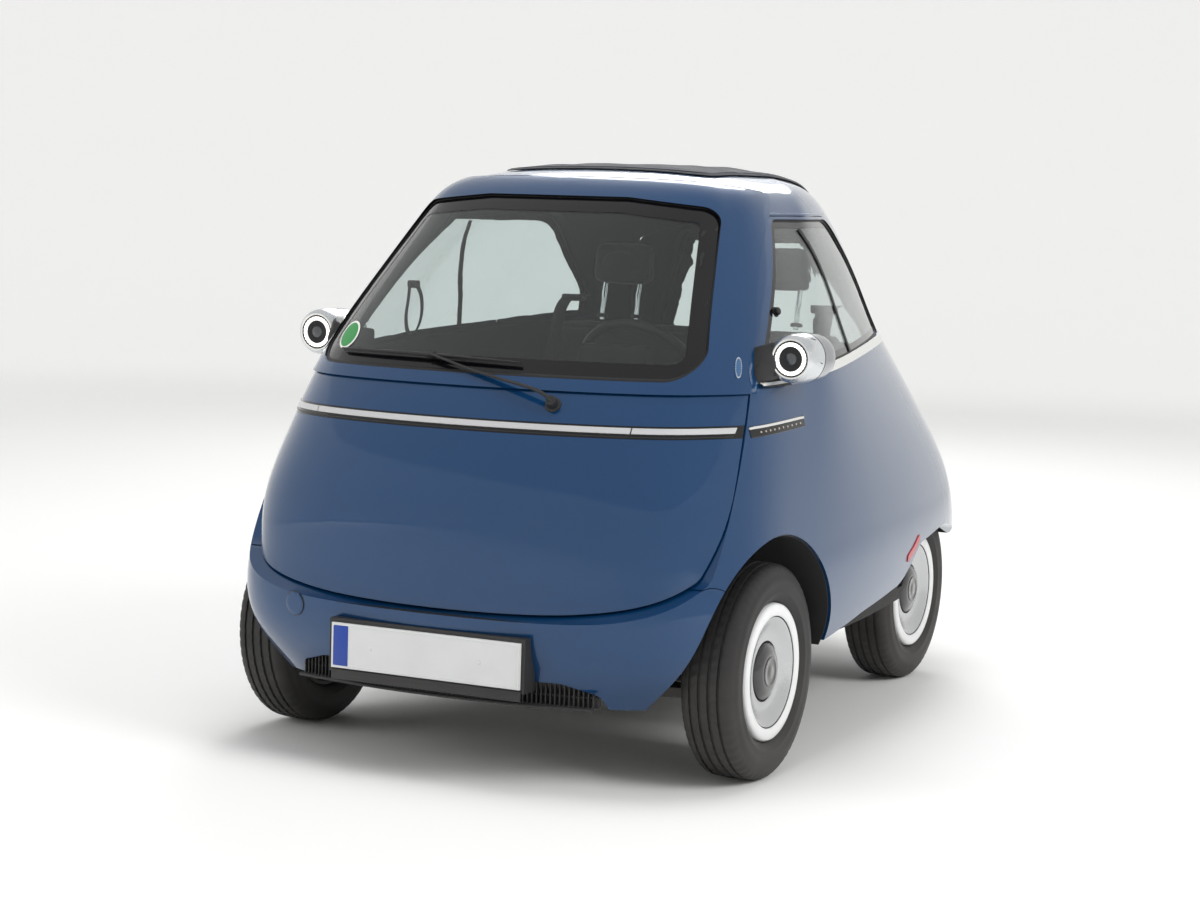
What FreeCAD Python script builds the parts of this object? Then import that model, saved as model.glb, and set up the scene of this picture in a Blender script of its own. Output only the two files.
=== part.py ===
import FreeCAD, Part

import math
import os
import Sketcher
from FreeCAD import Placement, Rotation, Vector

# Bubble microcar with one front door. Millimetres. +X is the car's left, -Y its front, +Z up;
# the origin is on the ground below the middle of the car.

SIZES = (
    # alias, value, meaning
    ("nose_reach", 1245, "middle of the car to the foremost point of the body skin"),
    ("tail_reach", 1252, "middle of the car to the rearmost point of the body skin"),
    ("body_width", 1450, "body skin, widest"),
    ("skirt_height", 200, "lowest edge of the body skin above the ground"),
    ("crown_height", 1492, "highest point of the body skin above the ground"),
    ("wall", 42, "whole thickness of a side, roof or tail panel"),
    ("door_wall", 48, "whole thickness of the front door"),
    ("shut_gap", 6, "gap between two panels that open or meet"),
    ("glass_thickness", 5, "side, rear and front glass"),
    ("glass_inset", 7, "outer face of the glass below the skin"),
    ("glass_gap", 1, "glass edge to the edge of its opening"),
    ("canvas_rise", 9, "canvas roof above the skin"),
    ("canvas_half_width", 312, "middle to the side edge of the canvas"),
    ("canvas_front", -405, "front edge of the canvas"),
    ("canvas_rear", 385, "rear edge of the canvas"),
    ("canvas_lap", 22, "canvas over the roof panel around its opening"),
    ("roof_seam", 1382, "seam between the roof and the side panels above the ground"),
    ("seat_clearance", 0.3, "between two pieces that rest on each other"),
    ("front_axle_y", -767.5, "front wheel centres"),
    ("rear_axle_y", 762.5, "rear wheel centres"),
    ("front_track", 1262, "between the front tyre centres"),
    ("rear_track", 890, "between the rear tyre centres"),
    ("tyre_radius", 267, "tread, outside"),
    ("tyre_width", 145, "tyre across its walls"),
    ("rim_radius", 165, "bead seat of the rim"),
    ("cover_radius", 174, "outer edge of the bright wheel cover"),
    ("cap_radius", 75, "black hub cap"),
    ("cap_rise", 26, "hub cap dome above the wheel cover"),
    ("hub_bore_radius", 17.05, "bore in the hub"),
    ("spindle_radius", 17, "spindle that the wheel turns on"),
    ("arch_radius", 315, "front wheel arch"),
    ("arch_height", 290, "centre of the front wheel arch above the ground"),
    ("arch_inner", 400, "middle of the car to the wheel housing's inner wall"),
    ("liner_thickness", 4, "wheel housing"),
    ("lamp_inset", 41, "lamp's centre inboard of the widest point of the body"),
    ("lamp_y", -700, "front face of a lamp"),
    ("lamp_z", 1028, "lamp's centre above the ground"),
    ("lamp_radius", 62, "lamp housing, widest"),
    ("lamp_length", 165, "lamp housing, front to back"),
    ("plate_width", 520, "registration plate"),
    ("plate_height", 110, "registration plate"),
    ("plate_z", 306, "centre of the front plate above the ground"),
    ("rear_plate_z", 500, "centre of the rear plate above the ground"),
    ("front_plate_stand", 15.5, "front plate's face ahead of the foremost point of the body skin"),
    ("rear_plate_stand", 8.5, "rear plate's face behind the rearmost point of the body skin"),
    ("bar_height", 30, "light bars, slot in the skin"),
    ("bar_depth", 14, "light bars, depth of the slot"),
    ("bar_z", 856, "front light bar above the ground"),
    ("rear_bar_z", 872, "rear light bar above the ground"),
    ("rear_bar_half_width", 425, "rear light bar, middle to its end"),
    ("door_tuck", 24, "foot of the front door behind the bumper's face"),
    ("frame_rise", 7, "windscreen frame above the skin"),
    ("frame_foot", 944, "lower edge of the windscreen frame above the ground"),
    ("windscreen_inset", 1, "outer face of the windscreen below the skin"),
    ("trim_thickness", 12, "inner trim of the front door"),
    ("jack_x", 550, "jacking pads, middle of the car to their centres"),
    ("jack_front_y", -360, "front jacking pads"),
    ("jack_rear_y", 280, "rear jacking pads"),
    ("jack_pad_width", 70, "jacking pads, each side"),
    ("jack_pad_rise", 6, "jacking pads below the floor"),
    ("tyre_room", 10, "between a rear tyre and the bodywork"),
    ("bench_half_width", 505, "seat, middle to its side"),
    ("bench_height", 585, "top of the seat cushion"),
    ("floor_height", 330, "top of the cabin floor"),
    ("floor_thickness", 40, "cabin floor"),
    ("steering_wheel_radius", 170, "to the middle of the steering wheel's rim"),
    ("motor_length", 300, "motor block, across the car"),
    ("hinge_x", 60, "tailgate hinge, middle of the car to the joint between its two lugs"),
    ("hinge_y", 535, "tailgate hinge axis"),
    ("hinge_z", 1399, "tailgate hinge axis above the ground"),
    ("hinge_pin_radius", 4, "tailgate hinge pins"),
    ("lug_width", 15, "each lug of a tailgate hinge"),
    ("foot_thickness", 9, "black foot of a lamp, above the skin"),
    ("tail_lift", 42, "degrees above level in which the tailgate lifts out of its opening"),
    ("door_axis_inset", 87, "door hinge axis at its height inboard of the widest point of the body"),
    ("door_axis_y", -862, "door hinge axis"),
    ("door_axis_z", 820, "height at which door_axis_inset holds"),
    ("door_axis_lean", 8, "degrees that the door hinge axis leans inwards at its top"),
    ("door_pin_radius", 4, "door hinge pin"),
    ("door_arm_low", 635, "foot of the door's hinge arm above the ground"),
    ("door_arm_high", 705, "top of the door's hinge arm above the ground"),
    ("door_arm_reach", 98, "hinge arm, inwards from the axis"),
    ("door_arm_thickness", 12, "hinge arm"),
    ("pin_clearance", 0.05, "between a pin and its bore"),
    ("steer_foot_inset", 41, "lower swivel joint inboard of the tyre's centre"),
    ("steer_foot_z", 195, "lower swivel joint above the ground"),
    ("steer_top_inset", 157, "upper strut mount inboard of the tyre's centre"),
    ("hub_inset", 83, "inner face of the hub carrier inboard of the tyre's centre"),
    ("rear_arm_inset", 120, "rear trailing arm inboard of the tyre's centre"),
    ("steer_top_z", 588, "upper strut mount above the ground"),
    ("rack_y", -640, "steering rack"),
    ("rack_z", 200, "steering rack above the ground"),
    ("arm_lift", 26, "steering arm above the middle of the tie rod, room for the ball joint"),
    ("wheel_hand_x", 150, "middle of the car to the steering wheel's centre"),
    ("wheel_hand_y", -420, "steering wheel's centre"),
    ("wheel_hand_z", 935, "steering wheel's centre above the ground"),
    ("column_rise", 30, "degrees that the steering column rises towards the driver"),
    ("head_x", 250, "middle of the car to a headrest's centre"),
    ("seat_y", -20, "middle of the bench, front to back"),
)

doc = FreeCAD.newDocument("microcar")
sheet = doc.addObject("Spreadsheet::Sheet", "Sizes")
for row, (alias, value, meaning) in enumerate(SIZES, start=1):
    sheet.set("A%d" % row, alias)
    sheet.set("B%d" % row, str(value))
    sheet.set("C%d" % row, meaning)
    sheet.setAlias("B%d" % row, alias)
doc.recompute()


class Size:
    """A length that keeps both its number and the expression that gives it."""

    def __init__(self, number, text):
        self.number = number
        self.text = text

    def _with(self, other, sign):
        other = other if isinstance(other, Size) else Size(float(other), repr(float(other)))
        numbers = {"+": self.number + other.number, "-": self.number - other.number,
                   "*": self.number * other.number}
        divided = self.number / other.number if sign == "/" else None
        return Size(numbers.get(sign, divided), "(%s %s %s)" % (self.text, sign, other.text))

    def __add__(self, other):
        return self._with(other, "+")

    def __sub__(self, other):
        return self._with(other, "-")

    def __mul__(self, other):
        return self._with(other, "*")

    def __truediv__(self, other):
        return self._with(other, "/")

    def __neg__(self):
        return self._with(-1, "*")


class Sizes:
    """Each driving dimension of the sheet by its alias."""

    def __getattr__(self, alias):
        return Size(float(getattr(sheet, alias)), "Sizes.%s" % alias)


s = Sizes()


def mm(alias):
    return float(getattr(sheet, alias))


SUBPARTS = []


def subpart(thing, name):
    thing.Label = name
    SUBPARTS.append(thing)
    return thing


def feature(name, shape, place=Placement()):
    """A sub-part whose shape comes from Part's own functions."""
    thing = doc.addObject("Part::Feature", name)
    thing.Shape = shape
    thing.Placement = place
    return subpart(thing, name)


def number(value):
    return value.number if isinstance(value, Size) else float(value)


def text(value):
    return value.text if isinstance(value, Size) else repr(float(value))


def origin_part(body, role):
    for part in body.Origin.OriginFeatures:
        if part.Role == role:
            return part


def sketch(body, name, role, corners, offset=0):
    """A closed outline of straight edges, each corner fixed to two sizes of the sheet."""
    made = body.newObject("Sketcher::SketchObject", name)
    made.AttachmentSupport = [(origin_part(body, role), "")]
    made.MapMode = "FlatFace"
    made.AttachmentOffset = Placement(Vector(0, 0, number(offset)), Rotation())
    if isinstance(offset, Size):
        made.setExpression("AttachmentOffset.Base.z", text(offset))
    spots = [Vector(number(a), number(b), 0) for a, b in corners]
    count = len(spots)
    for i in range(count):
        made.addGeometry(Part.LineSegment(spots[i], spots[(i + 1) % count]))
    for i in range(count):
        made.addConstraint(Sketcher.Constraint("Coincident", i, 2, (i + 1) % count, 1))
    for i, (a, b) in enumerate(corners):
        for kind, value in (("DistanceX", a), ("DistanceY", b)):
            at = made.addConstraint(Sketcher.Constraint(kind, -1, 1, i, 1, number(value)))
            made.setExpression("Constraints[%d]" % at, text(value))
    return made


def pad(body, outline, length, symmetric=True, pocket=False, reversed_=False):
    made = body.newObject("PartDesign::Pocket" if pocket else "PartDesign::Pad", outline.Name + "Run")
    made.Profile = outline
    made.Length = number(length)
    made.setExpression("Length", text(length))
    made.SideType = "Symmetric" if symmetric else "One side"
    made.Reversed = reversed_
    outline.Visibility = False
    return made


def revolve(body, outline, axis="V_Axis"):
    made = body.newObject("PartDesign::Revolution", outline.Name + "Turn")
    made.Profile = outline
    made.ReferenceAxis = (outline, [axis])
    made.Angle = 360
    outline.Visibility = False
    return made


def place(thing, x, y, z, turn=Rotation()):
    """Put a sub-part at a place bound to the sheet."""
    thing.Placement = Placement(Vector(number(x), number(y), number(z)), turn)
    for axis, value in (("x", x), ("y", y), ("z", z)):
        if isinstance(value, Size):
            thing.setExpression("Placement.Base.%s" % axis, text(value))
    return thing


def new_body(name):
    return subpart(doc.addObject("PartDesign::Body", name), name)


# Body skin: rings of a smooth shell, scaled so that their extremes meet the driving sizes.
# height at the side, half width, where it is widest, nose, tail, height at nose, height at tail,
# fullness of the front corner, fullness of the rear corner
RINGS = (
    (200, 645, -550, -1180, 1130, 200, 200, 3.0, 2.8),
    (330, 708, -700, -1236, 1225, 330, 330, 3.0, 3.0),
    (480, 725, -700, -1245, 1252, 480, 480, 2.9, 3.0),
    (640, 708, -620, -1225, 1228, 640, 640, 2.8, 2.8),
    (800, 683, -540, -1175, 1148, 800, 800, 2.7, 2.4),
    (940, 652, -470, -1085, 1028, 940, 940, 2.8, 2.15),
    (1080, 610, -400, -960, 885, 1080, 1080, 2.9, 2.0),
    (1220, 560, -320, -820, 735, 1230, 1230, 2.9, 2.0),
    (1340, 500, -240, -690, 600, 1360, 1345, 3.2, 2.05),
    (1425, 437, -180, -588, 460, 1438, 1430, 3.5, 2.2),
    (1470, 330, -60, -460, 330, 1473, 1470, 3.2, 2.4),
    (1492, 170, 0, -270, 180, 1492, 1492, 2.5, 2.4),
)
BELLY_RING = 3
FRONT_ANGLES = (0, 32, 56, 74)
REAR_ANGLES = (100, 128, 152)


def ring(row, inset):
    """Points around one ring, from the middle of the nose round the left side."""
    side_z, half_width, widest_y, nose, tail, nose_z, tail_z, nose_full, tail_full = row
    wide = half_width * mm("body_width") / 2 / max(r[1] for r in RINGS) - inset
    front = nose * mm("nose_reach") / -min(r[3] for r in RINGS) + inset
    rear = tail * mm("tail_reach") / max(r[4] for r in RINGS) - inset

    def level(z):
        low = RINGS[0][0]
        share = (z - low) / (RINGS[-1][0] - low)
        return mm("skirt_height") + share * (mm("crown_height") - mm("skirt_height"))

    side, nose_level, tail_level = level(side_z), level(nose_z), level(tail_z)
    spots = []
    for angle in FRONT_ANGLES + (90,) + REAR_ANGLES + (180,):
        across = math.sin(math.radians(angle))
        along = abs(math.cos(math.radians(angle)))
        full = nose_full if angle <= 90 else tail_full
        end, end_level = (front, nose_level) if angle <= 90 else (rear, tail_level)
        spots.append(Vector(wide * across ** (2 / full),
                            widest_y + (end - widest_y) * along ** (2 / full),
                            side + (end_level - side) * along ** 2))
    return spots + [Vector(-p.x, p.y, p.z) for p in reversed(spots[1:-1])]


def poles_through(points, closed):
    """Poles of an even cubic curve that passes through the points."""
    poles = list(points)
    count = len(points)
    for _ in range(40):
        better = []
        for i, point in enumerate(points):
            if not closed and i in (0, count - 1):
                better.append(point)
                continue
            smoothed = (poles[i - 1] + poles[i] * 4 + poles[(i + 1) % count]) * (1 / 6)
            better.append(poles[i] + point - smoothed)
        poles = better
    return poles


def skin_half(inset, drop=0, tuck=0):
    """The left half of everything inside the skin, moved inwards by inset, its foot down by drop.
    The rings below the front door's belly move in by tuck as well."""
    rows = [ring(row, inset + (tuck if i < BELLY_RING else 0)) for i, row in enumerate(RINGS)]
    rows[0] = [Vector(p.x, p.y, p.z - drop) for p in rows[0]]
    for back, share in ((1, 1), (2, 1), (3, 0.7), (4, 0.4)):
        rows[-back] = [Vector(p.x, p.y, p.z - inset * share) for p in rows[-back]]
    rings = [poles_through(row, True) for row in rows]
    half = len(rings[0]) // 2
    columns = [poles_through([row[i] for row in rings], False) for i in range(-1, half + 2)]
    net = [[c[0] * 2 - c[1]] + c + [c[-1] * 2 - c[-2]] for c in columns]
    skin = Part.BSplineSurface()
    knots = [[float(i) for i in range(count + 4)] for count in (len(net), len(net[0]))]
    skin.buildFromPolesMultsKnots(net, [1] * len(knots[0]), [1] * len(knots[1]),
                                  knots[0], knots[1], False, False, 3, 3)
    skin.segment(3, len(net), 3, len(net[0]))
    wall = skin.toShape()
    rims = {}
    for edge in wall.Edges:
        box = edge.BoundBox
        side = "upright" if box.XLength < 0.01 else "ring"
        rims.setdefault(side, []).append(edge)
    lids = []
    bridges = []
    for edge in rims["ring"]:
        ends = [vertex.Point for vertex in edge.Vertexes]
        bridge = Part.makeLine(ends[0], ends[1])
        bridges.append(bridge)
        lids.append(Part.Face(Part.Wire(Part.__sortEdges__([edge, bridge]))))
    lids.append(Part.Face(Part.Wire(Part.__sortEdges__(rims["upright"] + bridges))))
    skin_shell = Part.makeShell([wall] + lids)
    skin_shell.sewShape()
    solid = Part.makeSolid(skin_shell.Shells[0])
    if solid.Volume < 0:
        solid.reverse()
    return solid


def rounded_wire(corners, spot):
    """A closed wire through (a, b, radius) corners, each rounded; spot(a, b) gives the point."""
    count = len(corners)
    stations = []
    for i in range(count):
        here = Vector(corners[i][0], corners[i][1], 0)
        back = Vector(corners[i - 1][0], corners[i - 1][1], 0) - here
        ahead = Vector(corners[(i + 1) % count][0], corners[(i + 1) % count][1], 0) - here
        radius = corners[i][2]
        if radius == 0:
            stations.append((here, None, here))
            continue
        half = back.getAngle(ahead) / 2
        reach = radius / math.tan(half)
        back.normalize()
        ahead.normalize()
        middle = (back + ahead).normalize()
        centre = here + middle * (radius / math.sin(half))
        stations.append((here + back * reach, centre - middle * radius, here + ahead * reach))
    edges = []
    for i in range(count):
        start, top, end = stations[i]
        if top is not None:
            edges.append(Part.Arc(spot(start.x, start.y), spot(top.x, top.y), spot(end.x, end.y)).toShape())
        follow = stations[(i + 1) % count][0]
        if end.distanceToPoint(follow) > 1e-6:
            edges.append(Part.makeLine(spot(end.x, end.y), spot(follow.x, follow.y)))
    return Part.Wire(edges)


OUT = 2000  # past the car in any direction
TAIL_DEPTH = 280  # how far the tailgate's outline is run inwards from its hinge


def side_prism(corners, low_x, high_x, grow=0):
    """(y, z, radius) corners seen from the side, run along X."""
    return prism(rounded_wire(corners, lambda a, b: Vector(low_x, a, b)), Vector(high_x - low_x, 0, 0), grow)


def front_prism(corners, low_y, high_y, grow=0):
    """(x, z, radius) corners seen from the front, run along Y."""
    return prism(rounded_wire(corners, lambda a, b: Vector(a, low_y, b)), Vector(0, high_y - low_y, 0), grow)


def tail_prism(corners, grow=0):
    """(x, along the tail, radius) corners, run along the tailgate's way out of its opening."""
    lift = math.radians(mm("tail_lift"))
    out_, up = Vector(0, math.cos(lift), math.sin(lift)), Vector(0, -math.sin(lift), math.cos(lift))
    start = Vector(0, mm("hinge_y"), mm("hinge_z")) - out_ * TAIL_DEPTH
    wire = rounded_wire(corners, lambda a, b: start + Vector(a, 0, 0) + up * b)
    return prism(wire, out_ * (2.5 * TAIL_DEPTH), grow)


def plan_prism(corners, low_z, high_z, grow=0):
    """(x, y, radius) corners seen from above, run along Z."""
    return prism(rounded_wire(corners, lambda a, b: Vector(a, b, low_z)), Vector(0, 0, high_z - low_z), grow)


def prism(wire, run, grow):
    face = Part.Face(wire)
    if grow:
        face = face.makeOffset2D(grow)
    return face.extrude(run)


def box(low, high):
    low, high = Vector(*low), Vector(*high)
    size = high - low
    return Part.makeBox(size.x, size.y, size.z, low)


def mirrored(corners):
    """The outline's other half about its first column's zero."""
    return list(corners) + [(-a, b, r) for a, b, r in reversed(corners) if a]


def other_side(shape):
    """The mirror image on the car's right."""
    return shape.mirror(Vector(), Vector(1, 0, 0))


def across(half):
    """A piece that crosses the middle, from its left half."""
    return half.fuse(other_side(half)).removeSplitter()


wall = mm("wall")
gap = mm("shut_gap")

outer = skin_half(0)
inner = skin_half(wall, 60)
front_inner = skin_half(mm("door_wall"), 60)
door_outer = skin_half(0, 0, mm("door_tuck"))
door_inner = skin_half(mm("door_wall"), 60, mm("door_tuck"))

side_x = mm("body_width") / 2


def fore(corners):
    """(y, z, radius) corners drawn ahead of the middle, as they follow the nose."""
    return tuple((y * mm("nose_reach") / -min(r[3] for r in RINGS), z, r) for y, z, r in corners)


# Seen from the side, (y, z, corner radius)
DOOR_SIDE = fore(((-300, 1429, 0), (-560, 1262, 900), (-787, 942, 900), (-1046, 517, 60), (-1215, 414, 120),
                  (-1400, 408, 0), (-1400, 1560, 0)))
BUMPER_SIDE = fore(((-1400, 100, 0), (-900, 100, 0), (-900, 442, 0), (-1046, 509, 60), (-1215, 406, 120),
                    (-1400, 400, 0)))
SIDE_WINDOW = ((-738, 972, 20), (-372, 1364, 70), (150, 1366, 190), (415, 1140, 200), (442, 1046, 22))
SILL = ((-470, 100, 0), (-470, 300, 0), (-200, 345, 400), (130, 378, 250), (330, 468, 160), (760, 492, 900),
        (1000, 412, 160), (1400, 404, 0), (1400, 100, 0))
REAR_BUMPER_SIDE = ((840, 300, 0), (885, 600, 40), (1400, 612, 0), (1400, 300, 0))

# Seen from the front or back, (x, z, corner radius)
WINDSCREEN = mirrored(((side_x - 173, 972, 62), (side_x - 300, 1388, 62), (200, 1410, 0)))
FRAME_ZONE = ((-OUT, mm("frame_foot"), 0), (OUT, mm("frame_foot"), 0), (OUT, OUT, 0), (-OUT, OUT, 0))
REAR_WINDOW = mirrored(((side_x - 350, 960, 60), (side_x - 535, 1325, 55)))
# Seen along the tailgate's way out of its opening, (x, along the tail upwards from the hinge, corner radius)
TAILGATE = mirrored(((side_x - 270, -1080, 0), (side_x - 233, -698, 500), (side_x - 435, -10, 60)))
GRILLE_OPENING = mirrored(((side_x - 285, 150, 0), (side_x - 310, 236, 30), (side_x - 395, 262, 60)))

door_zone = side_prism(DOOR_SIDE, -OUT, OUT)
door_zone_wide = side_prism(DOOR_SIDE, -OUT, OUT, gap)
bumper_zone = side_prism(BUMPER_SIDE, -OUT, OUT)
bumper_zone_wide = side_prism(BUMPER_SIDE, -OUT, OUT, gap / 3)
rear_bumper_zone = side_prism(REAR_BUMPER_SIDE, -OUT, OUT)
rear_bumper_zone_wide = side_prism(REAR_BUMPER_SIDE, -OUT, OUT, gap / 3)
windscreen_hole = front_prism(WINDSCREEN, -OUT, 0)
rear_bumper_room = side_prism(REAR_BUMPER_SIDE, -OUT, OUT, gap)
tailgate_zone = tail_prism(TAILGATE)
tailgate_zone_wide = tail_prism(TAILGATE, gap)
rear_window_hole = front_prism(REAR_WINDOW, 300, OUT)
sill_zone = side_prism(SILL, -OUT, OUT)
window_hole = side_prism(SIDE_WINDOW, 200, OUT)
arches = Part.makeCylinder(mm("arch_radius"), OUT, Vector(mm("arch_inner"), mm("front_axle_y"), mm("arch_height")),
                           Vector(1, 0, 0))

shell = outer.cut(inner)
front_shell = outer.cut(front_inner)
door_shell = door_outer.cut(door_inner)


def door_axis(z):
    """The point at a height on the axis that the front door turns on."""
    slope = math.tan(math.radians(mm("door_axis_lean")))
    return Vector(side_x - mm("door_axis_inset") - slope * (z - mm("door_axis_z")), mm("door_axis_y"), z)


def door_rod(radius, low_z, high_z):
    start, end = door_axis(low_z), door_axis(high_z)
    return Part.makeCylinder(radius, (end - start).Length, start, end - start)


def hinge_arm():
    """Bent arm from the hinge pin inwards, then forwards into the door's wall."""
    low, high = mm("door_arm_low"), mm("door_arm_high")
    half = mm("door_arm_thickness") / 2
    axis = door_axis((low + high) / 2)
    inner_x = axis.x - mm("door_arm_reach")
    eye = door_rod(mm("door_pin_radius") + 4, low, high)
    inwards = box((inner_x - half, axis.y - half, low), (axis.x, axis.y + half, high))
    forwards = box((inner_x - half, -OUT, low), (inner_x + half, axis.y + half, high))
    return eye.fuse([inwards, forwards.common(skin_half(20))])


def hinge_pocket():
    """Room for the arm behind the left side panel's outer face."""
    low, high = mm("door_arm_low"), mm("door_arm_high")
    room = box((0, -OUT, low - 8), (OUT, mm("door_axis_y") + 16, high + 12))
    return room.common(skin_half(4))


# Tailgate hinge, seen from the side: along the skin and out of it
ALONG_SKIN = Vector(0, 0.848, -0.530)
OUT_OF_SKIN = Vector(0, 0.530, 0.848)
LUG_OUTLINE = ((0, 8), (28, -6), (34, -18), (10, -18), (0, -8))


def hinge_rod(radius):
    """The left hinge pin of the tailgate, or its bore."""
    reach = mm("lug_width") + 2
    start = Vector(mm("hinge_x") - reach, mm("hinge_y"), mm("hinge_z"))
    return Part.makeCylinder(radius, 2 * reach, start, Vector(1, 0, 0))


def hinge_lug(low_x, way):
    """Left lug that reaches down the tailgate (way 1) or up the roof (way -1)."""
    axis = Vector(low_x, mm("hinge_y"), mm("hinge_z"))
    spots = [axis + ALONG_SKIN * (along * way) + OUT_OF_SKIN * out for along, out in LUG_OUTLINE]
    tongue = Part.Face(Part.makePolygon(spots + [spots[0]])).extrude(Vector(mm("lug_width"), 0, 0))
    return tongue.fuse(Part.makeCylinder(LUG_OUTLINE[0][1], mm("lug_width"), axis, Vector(1, 0, 0)))


def glass_between(hole, inset):
    """Glass that follows the skin inside an opening's outline."""
    outside = skin_half(inset)
    inside = skin_half(inset + mm("glass_thickness"), 20)
    return outside.cut(inside).common(hole)


def bar_room(half_width, low_y, centre_z, clearance):
    """The slot of a light bar, or with a clearance the bar that fills it."""
    half = mm("bar_height") / 2 - clearance
    end = half_width - clearance
    band = box((-end, low_y, centre_z - half), (end, low_y + OUT, centre_z + half))
    return band.cut(skin_half(mm("bar_depth") - clearance))


def front_door():
    slot = bar_room(OUT, -OUT, mm("bar_z"), 0)
    door = across(door_shell.common(door_zone).cut(windscreen_hole).cut(slot))
    bore = door_rod(mm("door_pin_radius") + mm("pin_clearance"), mm("door_arm_low") - 1, mm("door_arm_high") + 1)
    return door.fuse(hinge_arm()).removeSplitter().cut(bore)


def light_bar():
    bar = bar_room(OUT, -OUT, mm("bar_z"), mm("seat_clearance"))
    return across(bar.common(skin_half(1)).common(door_zone))


def rear_light_bar():
    bar = bar_room(mm("rear_bar_half_width"), 0, mm("rear_bar_z"), mm("seat_clearance"))
    return across(bar.common(skin_half(1)))


def windscreen_frame():
    """Raised band of the door round the windscreen, above its lower edge."""
    band = skin_half(-mm("frame_rise")).cut(skin_half(-mm("seat_clearance")))
    return across(band.common(door_zone).common(front_prism(FRAME_ZONE, -OUT, 0)).cut(windscreen_hole))


def door_trim():
    """Inner trim of the door below the windscreen."""
    face = mm("door_wall") + mm("seat_clearance")
    inside = skin_half(face, 60, mm("door_tuck")).cut(skin_half(face + mm("trim_thickness"), 60, mm("door_tuck")))
    zone = side_prism(DOOR_SIDE, -OUT, OUT, -TRIM_MARGIN)
    below = front_prism(((-OUT, 0, 0), (OUT, 0, 0), (OUT, TRIM_TOP, 0), (-OUT, TRIM_TOP, 0)), -OUT, 0)
    return across(inside.common(zone).common(below).cut(hinge_room))


def canvas_corners(grow):
    half = mm("canvas_half_width") + grow
    front = mm("canvas_front") - grow
    rear = mm("canvas_rear") + grow
    return mirrored(((half, rear, 70), (half, front, 70)))


def panels():
    rest = shell.cut(door_zone_wide).cut(bumper_zone_wide).cut(rear_bumper_zone_wide)
    rest = rest.cut(tailgate_zone_wide).cut(sill_zone).cut(window_hole).cut(arches)
    rest = rest.cut(plan_prism(canvas_corners(-mm("canvas_lap")), 1300, OUT))
    roof_box = Part.makeBox(2 * OUT, 2 * OUT, OUT, Vector(-OUT, -OUT, mm("roof_seam")))
    lug = hinge_lug(mm("hinge_x") - mm("lug_width") - mm("seat_clearance"), -1)
    feature("roof_panel", across(rest.common(roof_box).fuse(lug).cut(hinge_bore)))
    side = rest.cut(roof_box)
    bore = door_rod(mm("door_pin_radius") + mm("pin_clearance"), mm("door_arm_low") - 32, mm("door_arm_high") + 30)
    feature("side_panel_left", side.cut(hinge_pocket()).cut(bore))
    feature("side_panel_right", other_side(side))


TRIM_MARGIN = 20  # edge of the door's inner trim inside the door's own edge
TRIM_TOP = 945  # top of the inner trim above the ground
hinge_room = box((side_x - 320, -OUT, mm("door_arm_low") - 12), (OUT, 0, mm("door_arm_high") + 12))
hinge_bore = hinge_rod(mm("hinge_pin_radius") + mm("pin_clearance"))
panels()
feature("front_door", front_door())
glass_zone = side_prism(DOOR_SIDE, -OUT, OUT, -mm("glass_gap"))
screen_zone = front_prism(WINDSCREEN, -OUT, 0, -mm("glass_gap"))
feature("windscreen", across(glass_between(glass_zone, mm("windscreen_inset")).common(screen_zone)))
feature("windscreen_frame", windscreen_frame())
feature("light_bar", light_bar())
feature("door_trim", door_trim())
feature("front_bumper", across(front_shell.common(bumper_zone).cut(arches).cut(front_prism(GRILLE_OPENING, -OUT, 0))))
tail = shell.common(tailgate_zone).cut(rear_window_hole).cut(rear_bumper_room).fuse(hinge_lug(mm("hinge_x"), 1))
tail = tail.cut(bar_room(mm("rear_bar_half_width"), 0, mm("rear_bar_z"), 0))
feature("tailgate", across(tail.cut(hinge_bore)))
feature("rear_light_bar", rear_light_bar())
hinge_pin = hinge_rod(mm("hinge_pin_radius"))
feature("tailgate_hinge", Part.makeCompound([hinge_pin, other_side(hinge_pin)]))
feature("rear_window", across(glass_between(front_prism(REAR_WINDOW, 300, OUT, -mm("glass_gap")), mm("glass_inset"))))
wheel_room = Part.makeCylinder(mm("tyre_radius") + mm("tyre_room"), mm("rear_track") + mm("tyre_width") + 2 * mm("tyre_room"),
                               Vector(-(mm("rear_track") + mm("tyre_width")) / 2 - mm("tyre_room"), mm("rear_axle_y"),
                                      mm("tyre_radius")), Vector(1, 0, 0))
feature("rear_bumper", across(shell.common(rear_bumper_zone).cut(sill_zone).cut(wheel_room)))
side_glass = glass_between(side_prism(SIDE_WINDOW, 200, OUT, -mm("glass_gap")), mm("glass_inset"))
feature("side_windows", Part.makeCompound([side_glass, other_side(side_glass)]))
canvas_shell = skin_half(-mm("canvas_rise")).cut(skin_half(-mm("seat_clearance")))
feature("canvas_roof", across(canvas_shell.common(plan_prism(canvas_corners(0), 1300, OUT))))


LEFT = 1
RIGHT = -1
SIDES = (("left", LEFT), ("right", RIGHT))
AXLES = (("front", s.front_axle_y, s.front_track), ("rear", s.rear_axle_y, s.rear_track))


def out_to(side):
    """Turns a piece drawn along Z so that its Z points out of the car's side."""
    return Rotation(Vector(0, 0, 1), Vector(side, 0, 0))


def turned(name, section):
    """A piece turned about its own Z axis from a half section of (radius, height) corners."""
    body = new_body(name)
    revolve(body, sketch(body, name + "Section", "XZ_Plane", section))
    return body


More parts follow.
